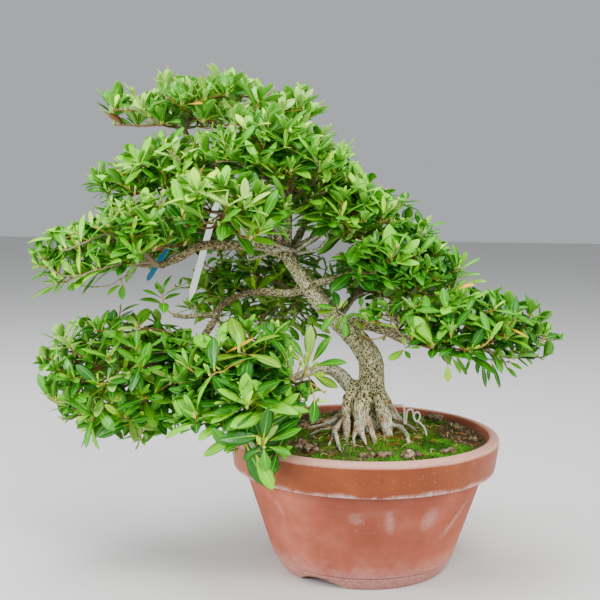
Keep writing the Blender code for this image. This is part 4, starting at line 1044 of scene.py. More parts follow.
def make_trunk(bark):
    """The bole, its roots, knots and two lowest boughs as rings carried along their paths, melted into
    one skin on a fine grid of cubes, then moved out and in by the bark's relief."""
    lines = [smooth_path(TRUNK, 6)] + [smooth_path(root, 6) for root in ROOTS]
    for line in lines[1:]:
        line[:, 3] *= 0.82 + 0.46 * cloud(line[:, :3], 8)
    lines += [smooth_path(BOUGHS[name], 6) for name in TRUNK_LIMBS]
    shapes = [tube(line, 20) for line in lines]
    shapes += [tube(np.array([(*a, r), (*(np.add(a, b) / 2), r), (*b, r * 0.7)]), 14) for a, b, r in KNOTS]
    points, corners, sides, _ = joined(shapes)
    rough = bpy.data.objects.new("rough_trunk", mesh_of("rough_trunk", points, corners, sides))
    bpy.context.scene.collection.objects.link(rough)
    join = rough.modifiers.new("one_skin", "REMESH")
    join.mode = "VOXEL"
    join.voxel_size = TRUNK_GRAIN * MM
    bpy.context.view_layer.update()
    skin = bpy.data.meshes.new_from_object(rough.evaluated_get(bpy.context.evaluated_depsgraph_get()))
    bpy.data.objects.remove(rough, do_unlink=True)
    points = np.empty(len(skin.vertices) * 3)
    skin.vertices.foreach_get("co", points)
    points = points.reshape(-1, 3) / MM - POT_AXIS
    faces = np.empty(len(skin.loops), np.int32)
    skin.loops.foreach_get("vertex_index", faces)
    faces = faces.reshape(-1, 4)
    points = melted(points, faces, MELTING_ROUNDS)
    normal = vertex_normals(points, faces)
    which, along, outward = nearest_limb(points, lines)
    radius = np.array([line[:, 3].mean() for line in lines])[which]
    radius = np.where(which == 0, TRUNK_GIRTH, np.maximum(radius, LEAST_GIRTH))
    place = bark_place(outward, along, radius, which)
    relief = bark_relief(place)
    rooty = (which >= 1) & (which <= len(ROOTS))
    low_front, right, stub = len(ROOTS) + np.array([1, 2, 3])
    smoother = np.where(rooty, np.clip((points[:, 2] - 136) / 34, 0.45, 1), 1.0)
    flutes = cloud(place * (1, 1, 0.5), 9.0) - 0.5
    lift = 0.8 * (relief - 0.5) * smoother + 2.1 * flutes * smoother + 1.1 * (cloud(points, 6) - 0.5)
    points = points + normal * lift[:, None]
    z = points[:, 2]
    rootiness = np.clip(np.where(rooty, (167 - z) / 16, (156 - z) / 14), 0, 1)
    rootiness = np.maximum(rootiness, 0.7 * (which == low_front) * np.clip((along - 12) / 16, 0, 1))
    rootiness = np.maximum(rootiness, 0.7 * (which == stub) * np.clip(along / 8 - 0.6, 0, 1))
    low = np.clip((178 - z) / 12, 0, 1)
    stain = low * np.clip((cloud(points, 7) - 0.56) * 6, 0, 1) * np.clip(1.5 - relief * 1.3, 0, 1)
    twigginess = (which == right) * np.clip((along - 12) / 20, 0, 0.6)
    mesh = mesh_of("trunk_and_roots", points, *faces_of(faces), bark_place=place, relief=relief,
                   rootiness=rootiness, stain=0.7 * stain, twigginess=twigginess, knuckle=knuckle_shade(points))
    new_piece("trunk_and_roots", mesh, [bark], "bark", "trunk", *TRUNK_LIMBS)


def make_boughs(bark):
    """Each bough or bare twig is a ring carried along its path, its radius moved by the bark's relief,
    by slow bends and by swollen rings where old twigs left it."""
    parts, places, reliefs, twiggy, pale = [], [], [], [], []
    names = [name for name in BOUGHS if name not in TRUNK_LIMBS]
    paths = [BOUGHS[name] for name in names]
    for twig, radius in BARE_TWIGS:
        taper = np.linspace(1, 0.7, len(twig))
        paths.append([(*place, radius * share) for place, share in zip(twig, taper)])
    for number, path in enumerate(paths):
        thin = number >= len(names)
        line = smooth_path(path, BOUGH_STEP)
        sides = TWIG_SIDES if thin else BOUGH_SIDES
        t = np.linspace(0, 1, len(line))
        line[:, 3] *= 1 + 0.5 * np.exp(-t * 14)
        line[:, :3] += 3.6 * drift(line[:, :3], 15, 13) * ((1 - t) * t)[:, None]
        length = np.linalg.norm(np.diff(line[:, :3], axis=0, prepend=line[:1, :3]), axis=1).cumsum()
        turn = 2 * math.pi * np.arange(sides) / sides
        outward = np.tile(np.column_stack([np.cos(turn), np.sin(turn)]), (len(line), 1))
        along = np.repeat(length, sides)
        place = bark_place(outward, along, np.full(len(along), BOUGH_GIRTH), 20 + number)
        relief = bark_relief(place)
        rings = cloud(length[:, None] * (0, 0, 1) + (0, number * 9, 0), 8) - 0.45
        swell = 0.55 * (relief - 0.5) + np.repeat(1.3 * np.clip(rings, 0, 1), sides)
        swell += 0.8 * (cloud(place * (1, 1, 0.6), 5) - 0.5)
        swell *= 0.45 if thin else 1.0
        parts.append(tube(line, sides, swell.reshape(len(line), sides)))
        shade = np.repeat(np.clip(length / 70, 0.25, 1), sides) * (0.2 if thin else 1.0)
        with_ends = np.concatenate([np.arange(len(place)), [0, len(place) - 1]])
        places.append(place[with_ends])
        reliefs.append(relief[with_ends])
        twiggy.append(shade[with_ends])
        pale.append(np.full(len(with_ends), 0.85 if thin else 0.0))
    points, corners, sides, _ = joined(parts)
    mesh = mesh_of("boughs", points, corners, sides, bark_place=np.vstack(places),
                   relief=np.concatenate(reliefs), rootiness=np.concatenate(pale), stain=np.zeros(len(points)),
                   twigginess=np.concatenate(twiggy), knuckle=knuckle_shade(points))
    new_piece("boughs", mesh, [bark], "bark", *names)


# ---- the rule of growth
LIMB_LINES = {name: smooth_path(path, 8) for name, path in BOUGHS.items()}
LIMB_LINES["trunk"] = smooth_path(TRUNK, 8)
for blade, (blade_top, blade_tip, *_) in LABELS.items():
    LIMB_LINES[blade] = np.array([(*blade_top, LABEL_ROOM), (*blade_tip, LABEL_ROOM)])


def normalised(mass, points):
    """Distance from the middle of a mass's space, 1 at its skin."""
    lean = math.radians(mass.get("lean", 0))
    x, y, z = np.moveaxis(np.asarray(points, float) - mass["at"], -1, 0)
    along = math.cos(lean) * x - math.sin(lean) * z
    across = math.sin(lean) * x + math.cos(lean) * z
    a, b, c = mass["reach"]
    return np.sqrt((along / a) ** 2 + (y / b) ** 2 + (across / c) ** 2)


def nearest_other(name, points):
    """The least such distance from any other mass."""
    return np.min([normalised(other, points) for key, other in MASSES.items() if key != name], axis=0)


def crosses_view(points):
    """For every point, whether it lies in one of the strips kept open from the front: each runs from
    a to b and on towards the front, as wide as given on either side."""
    crossed = np.zeros(len(points), bool)
    for a, b, half in OPEN_STRIPS:
        a, along = np.array(a, float), np.subtract(b, a).astype(float)
        flank = unit(np.cross(along, TO_FRONT))
        away = points - a
        depth = away @ TO_FRONT
        share = (away - depth[:, None] * TO_FRONT) @ along / (along @ along)
        crossed |= (np.abs(away @ flank) < half) & (share > 0) & (share < 1) & (depth > 2)
    return crossed


def in_own_space(name, points):
    """For every point, whether it lies in the mass's ellipsoid, whose skin noise makes uneven, out of
    its hollows, and nearer its middle than any other's."""
    own = normalised(MASSES[name], points)
    within = own < SKIN - SKIN_DEPTH * cloud(points, SKIN_SIZE)
    inside = within & (own + BETWEEN < nearest_other(name, points))
    for middle, reach in MASSES[name].get("hollows", ()):
        inside &= np.linalg.norm((points - np.array(middle)) / reach, axis=-1) > 1
    return inside


def clear_of_limbs(points, own_limb, spare):
    """For every point, whether it keeps clear of the limbs, the labels and the pot."""
    clear = np.ones(len(points), bool)
    for name, line in LIMB_LINES.items():
        if name == own_limb:
            line = line[:-1]
        start, along = line[:-1, :3], np.diff(line[:, :3], axis=0)
        radius = np.maximum(line[:-1, 3], line[1:, 3])
        t = np.einsum("pki,ki->pk", points[:, None] - start, along) / np.einsum("ki,ki->k", along, along)
        nearest = start + np.clip(t, 0, 1)[..., None] * along
        clear &= (np.linalg.norm(points[:, None] - nearest, axis=-1) > radius + spare).all(axis=1)
    over_pot = np.hypot(points[:, 0], points[:, 1]) < RIM_RADIUS + POT_CLEAR
    return clear & ~(over_pot & (points[:, 2] < CREST_Z + POT_CLEAR))


def tip_targets(name, count, inner, outer, spare, chosen, rng):
    """Evenly spread places for twig tips: each is the best of many tries at keeping its distance.
    They lie between two shares of the ellipsoid drawn in by `spare`, the length a leaf needs."""
    mass = MASSES[name]
    lean = math.radians(mass.get("lean", 0))
    turn_back = np.array([[math.cos(lean), 0, math.sin(lean)], [0, 1, 0], [-math.sin(lean), 0, math.cos(lean)]])
    reach = np.array(mass["reach"], float) - np.array((1, 1, 1.25)) * spare
    made = []
    for _ in range(count):
        tries = unit(rng.normal(size=(300, 3))) * rng.uniform(inner, outer, (300, 1))
        tries = tries[tries[:, 2] > mass.get("low", -0.45) * 1.25] * reach
        tries = tries @ turn_back.T + mass["at"]
        tries = tries[in_own_space(name, tries)]
        tries = tries[clear_of_limbs(tries, None, TWIG_CLEAR + 2)]
        if not len(tries):
            break
        near = np.array([*chosen, *made])
        apart = np.linalg.norm(tries[:, None] - near, axis=-1).min(axis=1)
        if apart.max() < CLOSEST:
            break
        made.append(tries[apart.argmax()])
    return made


def twig_to(target, origin, heading, rng):
    """The places of one twig: it sets out along its parent's heading, sags, and turns up to its tip."""
    count = max(2, round(np.linalg.norm(target - origin) / TWIG_STEP))
    reach = np.linalg.norm(target - origin)
    t = np.arange(1, count + 1)[:, None] / count
    bow = heading * reach * 0.16 - np.array((0, 0, 1)) * (0.5 + reach * 0.07)
    kinks = rng.normal(size=(count, 3)) * 0.55 * (t < 1)
    return origin + (target - origin) * t + bow * np.sin(math.pi * t) * (1 - 0.35 * t) + kinks


def twig_fits(name, origin, places):
    """A twig may leave its own limb anywhere, and from then on keeps clear of them all and in its space."""
    line = np.vstack([origin, places])
    halves = np.array([0.5, 1.0])[:, None, None]
    samples = (line[:-1] + (line[1:] - line[:-1]) * halves).reshape(-1, 3)
    near, far = samples[:2], samples[2:]
    return bool(clear_of_limbs(near, MASSES[name]["bough"], TWIG_CLEAR).all() and in_own_space(name, far).all()
                and clear_of_limbs(far, None, TWIG_CLEAR).all())


def grow(name, stem, targets, rng):
    """A branching skeleton on the outer part of a limb. Each tip, nearest first, joins the place
    where its twig and the way back to the limb are together shortest and where it need not turn
    sharply."""
    places, parents = list(stem), [at - 1 for at in range(len(stem))]
    headings = list(unit(np.gradient(stem, axis=0)))
    way, tips = [0.0] * len(stem), []
    for target in targets:
        here = np.array(places)
        gap = np.linalg.norm(target - here, axis=1)
        bend = 1 - np.einsum("ki,ki->k", unit(target - here), np.array(headings))
        cost = gap * (1 + 0.6 * bend) + 0.3 * np.array(way) + np.where(gap < 7, 40, 0)
        for start in np.argsort(cost)[:8]:
            twig = twig_to(target, places[start], headings[start], rng)
            if twig_fits(name, places[start], twig):
                break
        else:
            continue
        at = int(start)
        for place in twig:
            headings.append(unit(place - places[at]))
            way.append(way[at] + np.linalg.norm(place - places[at]))
            places.append(place)
            parents.append(at)
            at = len(places) - 1
        tips.append(at)
    return np.array(places), parents, np.array(headings), tips


def twig_chains(places, parents, tips, limb_radius):
    """The skeleton past its limb as tapering chains of (x, y, z, radius, tips carried). The load
    gives the radius, never more than what the limb or stem has where the twig leaves it."""
    load = np.zeros(len(places))
    for tip in tips:
        at = tip
        while at >= 0:
            load[at] += 1
            at = parents[at]
    radius = 0.72 * np.maximum(load, 1) ** 0.4
    radius[:len(limb_radius)] = limb_radius
    children = {}
    for place, parent in enumerate(parents):
        if place >= len(limb_radius):
            children.setdefault(parent, []).append(place)
            radius[place] = min(radius[place], radius[parent] * 0.97)
    starts = [(child, at) for at in range(len(limb_radius)) for child in children.get(at, ())]
    chains = []
    while starts:
        at, stem = starts.pop()
        chain = [(*places[stem], min(radius[at], radius[stem] * 0.8), load[at])]
        while True:
            chain.append((*places[at], radius[at], load[at]))
            onward = sorted(children.get(at, ()), key=lambda c: -load[c])
            if not onward:
                break
            starts += [(other, at) for other in onward[1:]]
            at = onward[0]
        chains.append(np.array(chain))
    return chains


# ---- leaves
LEAF_STATIONS = np.array([0.1, 0.27, 0.45, 0.62, 0.8, 0.94])
LEAF_ACROSS = np.array([-1.0, -0.55, -1.0, 1.0, 0.55, 1.0])   # the middle two are the rib's edges
LEAF_POINTS = 2 + 7 * len(LEAF_STATIONS)
RIB = 0.46           # half the rib's width, on a leaf 32 long


def leaf_faces():
    """The faces of one leaf over its 44 points, and for each whether it is top (0), rib (1),
    underside (2) or stalk (3). Points 0 and 43 are the root and the tip, 1-36 the top's rows of
    six, and 37-42 the underside's middle line."""
    faces, kinds = [], []

    def add(kind, *corners):
        faces.append(corners[::-1])
        kinds.append(kind)

    rows, tip = len(LEAF_STATIONS), LEAF_POINTS - 1
    last, spine = 1 + 6 * (rows - 1), 1 + 6 * rows
    for c in range(5):
        kind = 1 if c == 2 else 0
        add(3, 0, 1 + c, 2 + c)
        add(kind, tip, last + c + 1, last + c)
        for a in range(1 + c, last + c, 6):
            add(3 if a == 3 else kind, a, a + 6, a + 7, a + 1)
    add(3, 0, spine, 1)
    add(3, 0, 6, spine)
    add(2, tip, last, tip - 1)
    add(2, tip, tip - 1, last + 5)
    for under in range(spine, tip - 1):
        a = 1 + 6 * (under - spine)
        add(2, a, under, under + 1, a + 6)
        add(2, under, a + 5, a + 11, under + 1)
    return faces, np.array(kinds)


def leaf_outline(t):
    """Half the width at a share t of the length, as a share of the greatest: it widens slowly from
    the stalk, is widest at five eighths and ends in a blunt point."""
    return np.maximum(np.sin(math.pi * np.clip(t, 0, 1) ** 1.45) ** 0.76, 0.15)


def leaf_points(base, direction, normal, length, share, curl, fold, twist):
    """Leaves as arrays. The middle line is an arc that turns away from `normal` by `curl` along its
    length. Across it, the blade rises from a sunk rib by `fold` and its edges roll back a little."""
    count = len(base)
    side = np.cross(direction, normal)
    t = np.concatenate([[0], LEAF_STATIONS, [1]])[None, :, None]
    bend = np.maximum(curl, 1e-3)[:, None, None]
    reach = length[:, None, None]
    along = reach * np.sin(bend * t) / bend
    drop = reach * (1 - np.cos(bend * t)) / bend
    line = base[:, None] + direction[:, None] * along - normal[:, None] * drop
    up = normal[:, None] * np.cos(bend * t) + direction[:, None] * np.sin(bend * t)
    turn = twist[:, None, None] * t
    across = side[:, None] * np.cos(turn) + up * np.sin(turn)
    up = up * np.cos(turn) - side[:, None] * np.sin(turn)
    half = (length * share / 2)[:, None, None] * leaf_outline(t)
    rib = np.minimum(RIB * reach / 32 * (1.25 - t), half * 0.45)
    on_rib = np.isin(np.arange(6), (2, 3))
    fold = fold[:, None, None]
    out = np.where(on_rib, np.sign(LEAF_ACROSS) * rib, LEAF_ACROSS * half)
    lift = np.abs(out) * np.sin(fold) - 0.16 * half * (np.abs(out) / np.maximum(half, 1e-6)) ** 4
    lift = np.where(on_rib, lift - 0.18, lift)
    out = out * np.cos(fold)
    top = line[:, :, None] + across[:, :, None] * out[..., None] + up[:, :, None] * lift[..., None]
    under = line[:, 1:-1] - up[:, 1:-1] * 0.42
    return np.concatenate([line[:, :1], top[:, 1:-1].reshape(count, -1, 3), under, line[:, -1:]], axis=1)


# Greens and other colours of the leaves: (name, display values, roughness).
SHADES = (
    ("leaf_deep", (38, 108, 16), 0.27), ("leaf_green", (66, 152, 14), 0.3),
    ("leaf_fresh", (114, 196, 10), 0.34), ("leaf_spring", (176, 232, 26), 0.42),
    ("leaf_grey", (158, 206, 84), 0.42), ("leaf_olive", (104, 150, 14), 0.36),
    ("leaf_yellow", (204, 160, 24), 0.55), ("leaf_brown", (132, 84, 46), 0.7),
    ("under_green", (96, 166, 40), 0.5), ("under_pale", (138, 190, 76), 0.55),
    ("rib_green", (160, 218, 70), 0.45), ("rib_dark", (112, 190, 50), 0.4),
    ("stalk_yellow", (220, 210, 60), 0.5),
)
(DEEP, GREEN, FRESH, SPRING, GREY, OLIVE, YELLOW, BROWN, UNDER, UNDER_PALE, RIB_PALE, RIB_DARK,
 STALK) = range(len(SHADES))
# How often a spray of each tint takes each of the first greens: deep, green, fresh, spring, grey, olive.
# The tints also paint light and shade: those of the masses on the left and "back" lean to paler greens
# as painted light, "right" and "lower" to deep greens as painted shade.
LEAF_TINTS = {
    "apex": (0.0, 0.12, 0.24, 0.08, 0.54, 0.02),
    "painted_lit": (0.12, 0.36, 0.3, 0.06, 0.14, 0.02),
    "upper": (0.12, 0.4, 0.36, 0.08, 0.02, 0.02),
    "right": (0.44, 0.42, 0.12, 0.0, 0.0, 0.02),
    "painted_lit_low": (0.14, 0.38, 0.22, 0.02, 0.22, 0.02),
    "lower": (0.46, 0.4, 0.12, 0.0, 0.0, 0.02),
    "back": (0.0, 0.1, 0.26, 0.22, 0.40, 0.02),
}
# The share of the young leaves in a rosette's heart that are yellow-green; fewer in "right" and
# "lower", as part of their painted shade.
YOUNG = {"apex": 0.4, "painted_lit": 0.4, "upper": 0.42, "right": 0.26, "painted_lit_low": 0.34, "lower": 0.3, "back": 0.4}
# How far a rosette's axis turns outwards, along its twig and up, and the tilt of its lowest and
# highest old leaves.
ROSETTES = {
    "apex": (0.3, 0.2, 1.5, 56, 16), "painted_lit": (0.62, 0.2, 0.75, 80, 30), "upper": (0.62, 0.2, 0.75, 80, 30),
    "right": (0.62, 0.2, 0.7, 82, 32), "painted_lit_low": (0.8, 0.15, 0.55, 86, 36), "lower": (0.85, 0.15, 0.5, 86, 36),
    "back": (0.5, 0.2, 0.8, 88, 38),
}
LEAF_FACES, LEAF_FACE_KINDS = leaf_faces()
LEAF_CORNERS = np.array([corner for face in LEAF_FACES for corner in face])
LEAF_SIDES = np.array([len(face) for face in LEAF_FACES])
TESTED = np.array([43, 42, 31, 36, 19, 24, 13, 18, 40])    # a leaf's points that need room of their own


def round_axis(axis):
    """Two directions square to an axis and to each other, or to every axis of an array."""
    across = unit(np.cross(axis, (0.31, 0.95, 0.05)))
    return across, np.cross(axis, across)


def rosette(tip, heading, middle, length, tint, rng):
    """The leaves at one twig's end, as rows of (base, direction, normal, length, share, curl, fold,
    twist, shade). Old leaves spiral down the shoot by the golden angle and spread, the young ones
    stand up in the middle, and every blade turns its face to the shoot and to the sky."""
    out, onward, rise, low_tilt, high_tilt = ROSETTES[tint]
    axis = unit(out * unit(tip - middle) + onward * heading + (0, 0, rise))
    across, other = round_axis(axis)
    shade = int(rng.choice(6, p=LEAF_TINTS[tint]))
    vigour = rng.uniform(0.86, 1.18)
    old, young = int(rng.integers(5, 9)), int(rng.integers(2, 5))
    spin = rng.uniform(0, 2 * math.pi)
    rows = []
    for k in range(old + young):
        spin += GOLDEN + rng.normal() * 0.14
        around = math.cos(spin) * across + math.sin(spin) * other
        if k < old:
            share = k / max(old - 1, 1)
            tilt = math.radians(low_tilt + (high_tilt - low_tilt) * share + rng.normal() * 7)
            size = length[0] * vigour * rng.uniform(0.9, 1.14) * (1.08 - 0.2 * share)
            base = tip - heading * (1.0 + 13.0 * (1 - share) ** 1.4)
            tone = shade
            if share < 0.4 and rng.random() < 0.4:
                tone = (DEEP, DEEP, GREEN, FRESH, OLIVE, OLIVE)[shade]
            if rng.random() < TURNED:
                tone = YELLOW if rng.random() < 0.75 else BROWN
            width = length[1] * rng.uniform(0.88, 1.12)
            curl, fold = rng.uniform(0.1, 0.7), rng.uniform(0.1, 0.4)
        else:
            share = (k - old) / max(young - 1, 1)
            tilt = math.radians(32 - 20 * share + rng.normal() * 6)
            size = length[0] * vigour * rng.uniform(0.46, 0.76) * (1 - 0.4 * share)
            base = tip - heading * 0.6
            tone = SPRING if rng.random() < YOUNG[tint] else (GREY if shade == GREY else FRESH)
            width, curl, fold = length[1] * 0.84, rng.uniform(-0.05, 0.3), rng.uniform(0.35, 0.7)
        direction = unit(math.cos(tilt) * axis + math.sin(tilt) * around + rng.normal(size=3) * 0.05)
        facing = axis - direction * (axis @ direction)
        sky = np.array((0, 0, 1.0)) - direction * direction[2]
        normal = facing / max(np.linalg.norm(facing), 0.2) + 0.7 * sky + rng.normal(size=3) * 0.1
        normal = unit(normal - direction * (normal @ direction))
        rows.append((*base, *direction, *normal, size, width, max(curl, 0.02), fold, rng.normal() * 0.25, tone))
    return rows, (*tip, *axis)


def leaves_from(rows):
    """Rows of leaf numbers as points, one block of LEAF_POINTS for each leaf."""
    return leaf_points(rows[:, 0:3], rows[:, 3:6], rows[:, 6:9], *rows[:, 9:14].T)


def fitted(name, rows):
    """The leaves that keep to the mass's space and clear of every limb. One with no room is made
    shorter, then turned up, then left out."""
    kept = []
    for shrink, lift in ((1.0, 0.0), (0.82, 0.15), (0.82, 0.5), (0.66, 0.3)):
        tried = rows.copy()
        tried[:, 9] *= shrink
        tried[:, 3:6] = unit(rows[:, 3:6] + np.array((0, 0, lift)))
        tried[:, 6:9] -= tried[:, 3:6] * np.einsum("ij,ij->i", tried[:, 6:9], tried[:, 3:6])[:, None]
        tried[:, 6:9] = unit(tried[:, 6:9])
        samples = leaves_from(tried)[:, TESTED]
        flat = samples.reshape(-1, 3)
        fits = in_own_space(name, flat) & clear_of_limbs(flat, None, LEAF_CLEAR) & ~crosses_view(flat)
        good = fits.reshape(len(rows), -1).all(axis=1)
        kept.append(tried[good])
        rows = rows[~good]
        if not len(rows):
            break
    return np.vstack(kept)


def leaf_piece(name, rows, *nodes):
    """All leaves of a mass as one mesh, every face with the shade of its leaf's side or rib."""
    points = leaves_from(rows)
    count = len(rows)
    tone = rows[:, 14].astype(int)
    under = np.where(tone == BROWN, BROWN, np.where((tone == GREY) | (tone == SPRING), UNDER_PALE, UNDER))
    rib = np.where(tone >= YELLOW, tone, np.where(tone == DEEP, RIB_DARK, RIB_PALE))
    stalk = np.where(tone >= YELLOW, tone, STALK)
    kinds = np.stack([tone, rib, under, stalk], 1)[:, LEAF_FACE_KINDS].ravel()
    corners = (LEAF_CORNERS[None] + LEAF_POINTS * np.arange(count)[:, None]).ravel()
    mesh = mesh_of(name, points.reshape(-1, 3), corners, np.tile(LEAF_SIDES, count), kinds)
    new_piece(name, mesh, LEAF_MATERIALS, "foliage", *nodes)


# Leaves that stand alone: x, y, z of the foot and of the tip, the share of the length that is the width,
# and the green.
LOOSE_LEAVES = (
    (53, -16, 340, 48, -14, 358, 0.42, DEEP), (53, -16, 337, 42, -22, 346, 0.6, DEEP),
    (55, -16, 338, 55, -22, 350, 0.6, GREEN), (56, -16, 340, 78, -8, 348, 0.22, GREEN),
    (57, -16, 335, 71, -22, 341, 0.4, DEEP), (57, -16, 331, 73, -22, 329, 0.28, GREEN),
    (55, -16, 336, 61, -16, 354, 0.4, GREY), (87, -24, 300, 85, -24, 318, 0.5, DEEP),
    (89, -24, 302, 95, -26, 319, 0.4, FRESH), (90, -24, 301, 110, -16, 314, 0.24, GREEN),
    (92, -24, 295, 110, -26, 300, 0.3, GREEN), (98, -24, 289, 116, -26, 291, 0.4, FRESH),
    (86, -24, 298, 77, -30, 309, 0.4, DEEP), (-294, -48, 285, -331, -50, 273, 0.14, OLIVE),
    (-296, -48, 283, -314, -54, 274, 0.2, GREEN), (-233, -52, 286, -234, -54, 270, 0.62, GREEN),
    (-235, -52, 285, -251, -54, 277, 0.34, FRESH), (-281, -50, 287, -286, -56, 278, 0.4, FRESH),
    (-68, 44, 249, -58, 42, 248, 0.4, GREEN), (-62, 44, 247, -56, 40, 234, 0.4, GREY),
    (-59, 44, 246, -49, 42, 234, 0.35, FRESH), (-56, 46, 239, -36, 44, 228, 0.35, GREY),
    (-83, 44, 242, -64, 40, 231, 0.35, GREY), (-55, 46, 226, -35, 44, 223, 0.32, GREEN),
    (-80, 44, 235, -69, 40, 220, 0.45, GREEN), (-54, 46, 240, -37, 50, 241, 0.3, GREEN),
    (-58, 46, 239, -52, 42, 220, 0.38, OLIVE), (-49, 48, 243, -33, 50, 234, 0.3, FRESH),
    (-73, 44, 247, -78, 38, 235, 0.4, FRESH), (-66, 46, 243, -65, 46, 223, 0.34, GREEN),
    (-91, -132, 154, -101, -138, 181, 0.5, DEEP), (-88, -134, 152, -79, -140, 171, 0.4, GREY),
    (-85, -134, 154, -56, -138, 169, 0.38, GREEN), (-88, -130, 154, -58, -128, 176, 0.32, DEEP),
    (-85, -134, 149, -64, -142, 147, 0.42, GREEN), (-92, -134, 147, -107, -142, 139, 0.55, DEEP),
    (-97, -134, 143, -79, -148, 114, 0.36, FRESH), (-89, -136, 147, -86, -146, 131, 0.6, GREEN),
    (-91, -136, 150, -95, -140, 160, 0.45, SPRING), (-89, -136, 150, -85, -140, 160, 0.45, SPRING),
    (-107, -128, 157, -151, -124, 142, 0.26, FRESH), (-106, -130, 156, -126, -136, 145, 0.36, GREEN),
    (-106, -126, 177, -127, -136, 163, 0.42, GREEN), (-123, -120, 180, -158, -122, 169, 0.28, FRESH),
    (-54, -56, 212, -53, -58, 249, 0.3, GREY), (-51, -56, 212, -34, -62, 240, 0.36, GREEN),
    (-50, -56, 209, -19, -66, 220, 0.3, GREEN), (-53, -60, 201, -37, -74, 205, 0.36, SPRING),
    (-50, -58, 202, -25, -66, 192, 0.42, OLIVE), (-54, -58, 200, -49, -66, 185, 0.6, DEEP),
    (-58, -58, 199, -70, -66, 180, 0.36, DEEP), (-66, -60, 197, -76, -66, 190, 0.5, GREEN),
    (-60, -56, 213, -83, -66, 236, 0.36, OLIVE), (-58, -54, 215, -72, -56, 237, 0.3, GREEN),
    (-55, -60, 203, -63, -70, 216, 0.36, SPRING), (-51, -60, 205, -46, -66, 216, 0.4, SPRING),
    (-53, -60, 208, -58, -64, 220, 0.4, FRESH), (78, -52, 213, 79, -54, 196, 0.42, SPRING),
    (82, -50, 220, 92, -56, 206, 0.3, FRESH), (75, -50, 220, 82, -52, 212, 0.3, FRESH),
    (107, -33, 217, 109, -35, 201, 0.25, DEEP), (112, -33, 215, 118, -36, 187, 0.17, DEEP),
    (118, -33, 213, 120, -34, 194, 0.2, DEEP), (121, -33, 215, 131, -37, 188, 0.19, DEEP),
    (134, -34, 210, 147, -40, 201, 0.3, GREEN), (137, -34, 214, 151, -38, 208, 0.28, FRESH),
    (102, -33, 218, 97, -36, 204, 0.24, GREEN), (38, -46, 227, 36, -50, 241, 0.42, GREY),
    (37, -48, 226, 22, -60, 218, 0.45, FRESH), (39, -50, 228, 52, -58, 230, 0.28, FRESH),
    (37, -46, 225, 43, -52, 219, 0.5, GREEN), (68, -62, 225, 69, -58, 240, 0.8, DEEP),
    (58, -62, 245, 41, -70, 234, 0.46, DEEP), (67, -62, 246, 83, -70, 242, 0.42, GREEN),
    (59, -60, 247, 63, -62, 238, 0.9, GREEN), (59, -56, 257, 37, -58, 275, 0.28, FRESH),
    (64, -56, 258, 77, -56, 272, 0.3, FRESH), (-28, -36, 263, -47, -42, 267, 0.38, GREEN),
    (-27, -34, 262, -31, -32, 279, 0.52, DEEP), (-25, -35, 263, -22, -36, 272, 0.4, SPRING),
    (-23, -34, 263, -18, -34, 271, 0.34, GREY), (-29, -36, 260, -47, -40, 260, 0.4, OLIVE),
    (-29, -38, 258, -43, -50, 245, 0.38, GREEN), (-20, -38, 257, -20, -44, 250, 0.85, GREEN),
    (-20, -40, 253, -19, -48, 237, 0.45, GREEN), (-23, -37, 255, -30, -38, 243, 0.36, OLIVE),
    (-5, -34, 264, -5, -34, 274, 0.6, GREEN), (-3, -36, 265, 18, -44, 264, 0.26, GREEN),
    (-9, -36, 259, -18, -42, 258, 0.45, GREEN), (-5, -38, 257, 9, -46, 251, 0.38, GREEN),
    (-6, -36, 261, 4, -42, 263, 0.35, GREEN), (-13, -36, 252, -1, -40, 245, 0.3, OLIVE),
    (-11, -30, 300, -35, -46, 282, 0.44, DEEP), (-11, -30, 299, 5, -44, 282, 0.5, DEEP),
    (-204, -60, 332, -197, -62, 318, 0.35, BROWN), (-196, -60, 332, -186, -60, 320, 0.3, BROWN),
    (-191, -58, 328, -196, -58, 315, 0.28, BROWN), (83, -60, 285, 100, -64, 294, 0.3, YELLOW),
    (-284, -34, 215, -284, -34, 201, 0.4, BROWN),
)


def make_loose_leaves():
    """Each leaf's face looks to the front and a little up, but for how its own line turns it."""
    table = np.array(LOOSE_LEAVES, float)
    base, tip = table[:, :3], table[:, 3:6]
    length = np.linalg.norm(tip - base, axis=1)
    direction = unit(tip - base)
    facing = np.array((-0.1, -0.6, 0.8))
    normal = facing - direction * (direction @ facing)[:, None]
    numbers = np.arange(len(base))
    curl, fold = 0.15 + 0.3 * (numbers % 3 == 1), 0.12 + 0.16 * (numbers % 4)
    twist = 0.2 * np.sin(numbers * 2.4)
    rows = np.column_stack([base, direction, unit(normal), length, table[:, 6], curl, fold, twist, table[:, 7]])
    leaf_piece("loose_leaves", rows)


def leaf_finish(name, colour, roughness):
    """One plain green, its gloss in patches and its face faintly quilted between the veins."""
    leaf = Finish(name, roughness, 0.3).colour(srgb(*colour))
    place = leaf.place()
    leaf.roughness(leaf.span(leaf.noise(place, 130, 2, 0.6), 0.35, 0.65, roughness - 0.08, roughness + 0.12))
    leaf.bump(leaf.noise(place, 420, 2, 0.5), 0.0005, 0.5)
    return leaf.material


LEAF_MATERIALS = [leaf_finish(*shade) for shade in SHADES]
TWIG_MATERIALS = [
    plain("twig_grey", (132, 116, 92), 0.8, 0.2), plain("twig_brown", (128, 84, 52), 0.7, 0.3),
    plain("twig_young", (190, 148, 66), 0.55, 0.4),
]
BUD_MATERIALS = [
    plain("bud_green", (150, 176, 70), 0.45), plain("bud_yellow", (196, 206, 96), 0.45),
    plain("bud_scale", (150, 98, 50), 0.6),
]


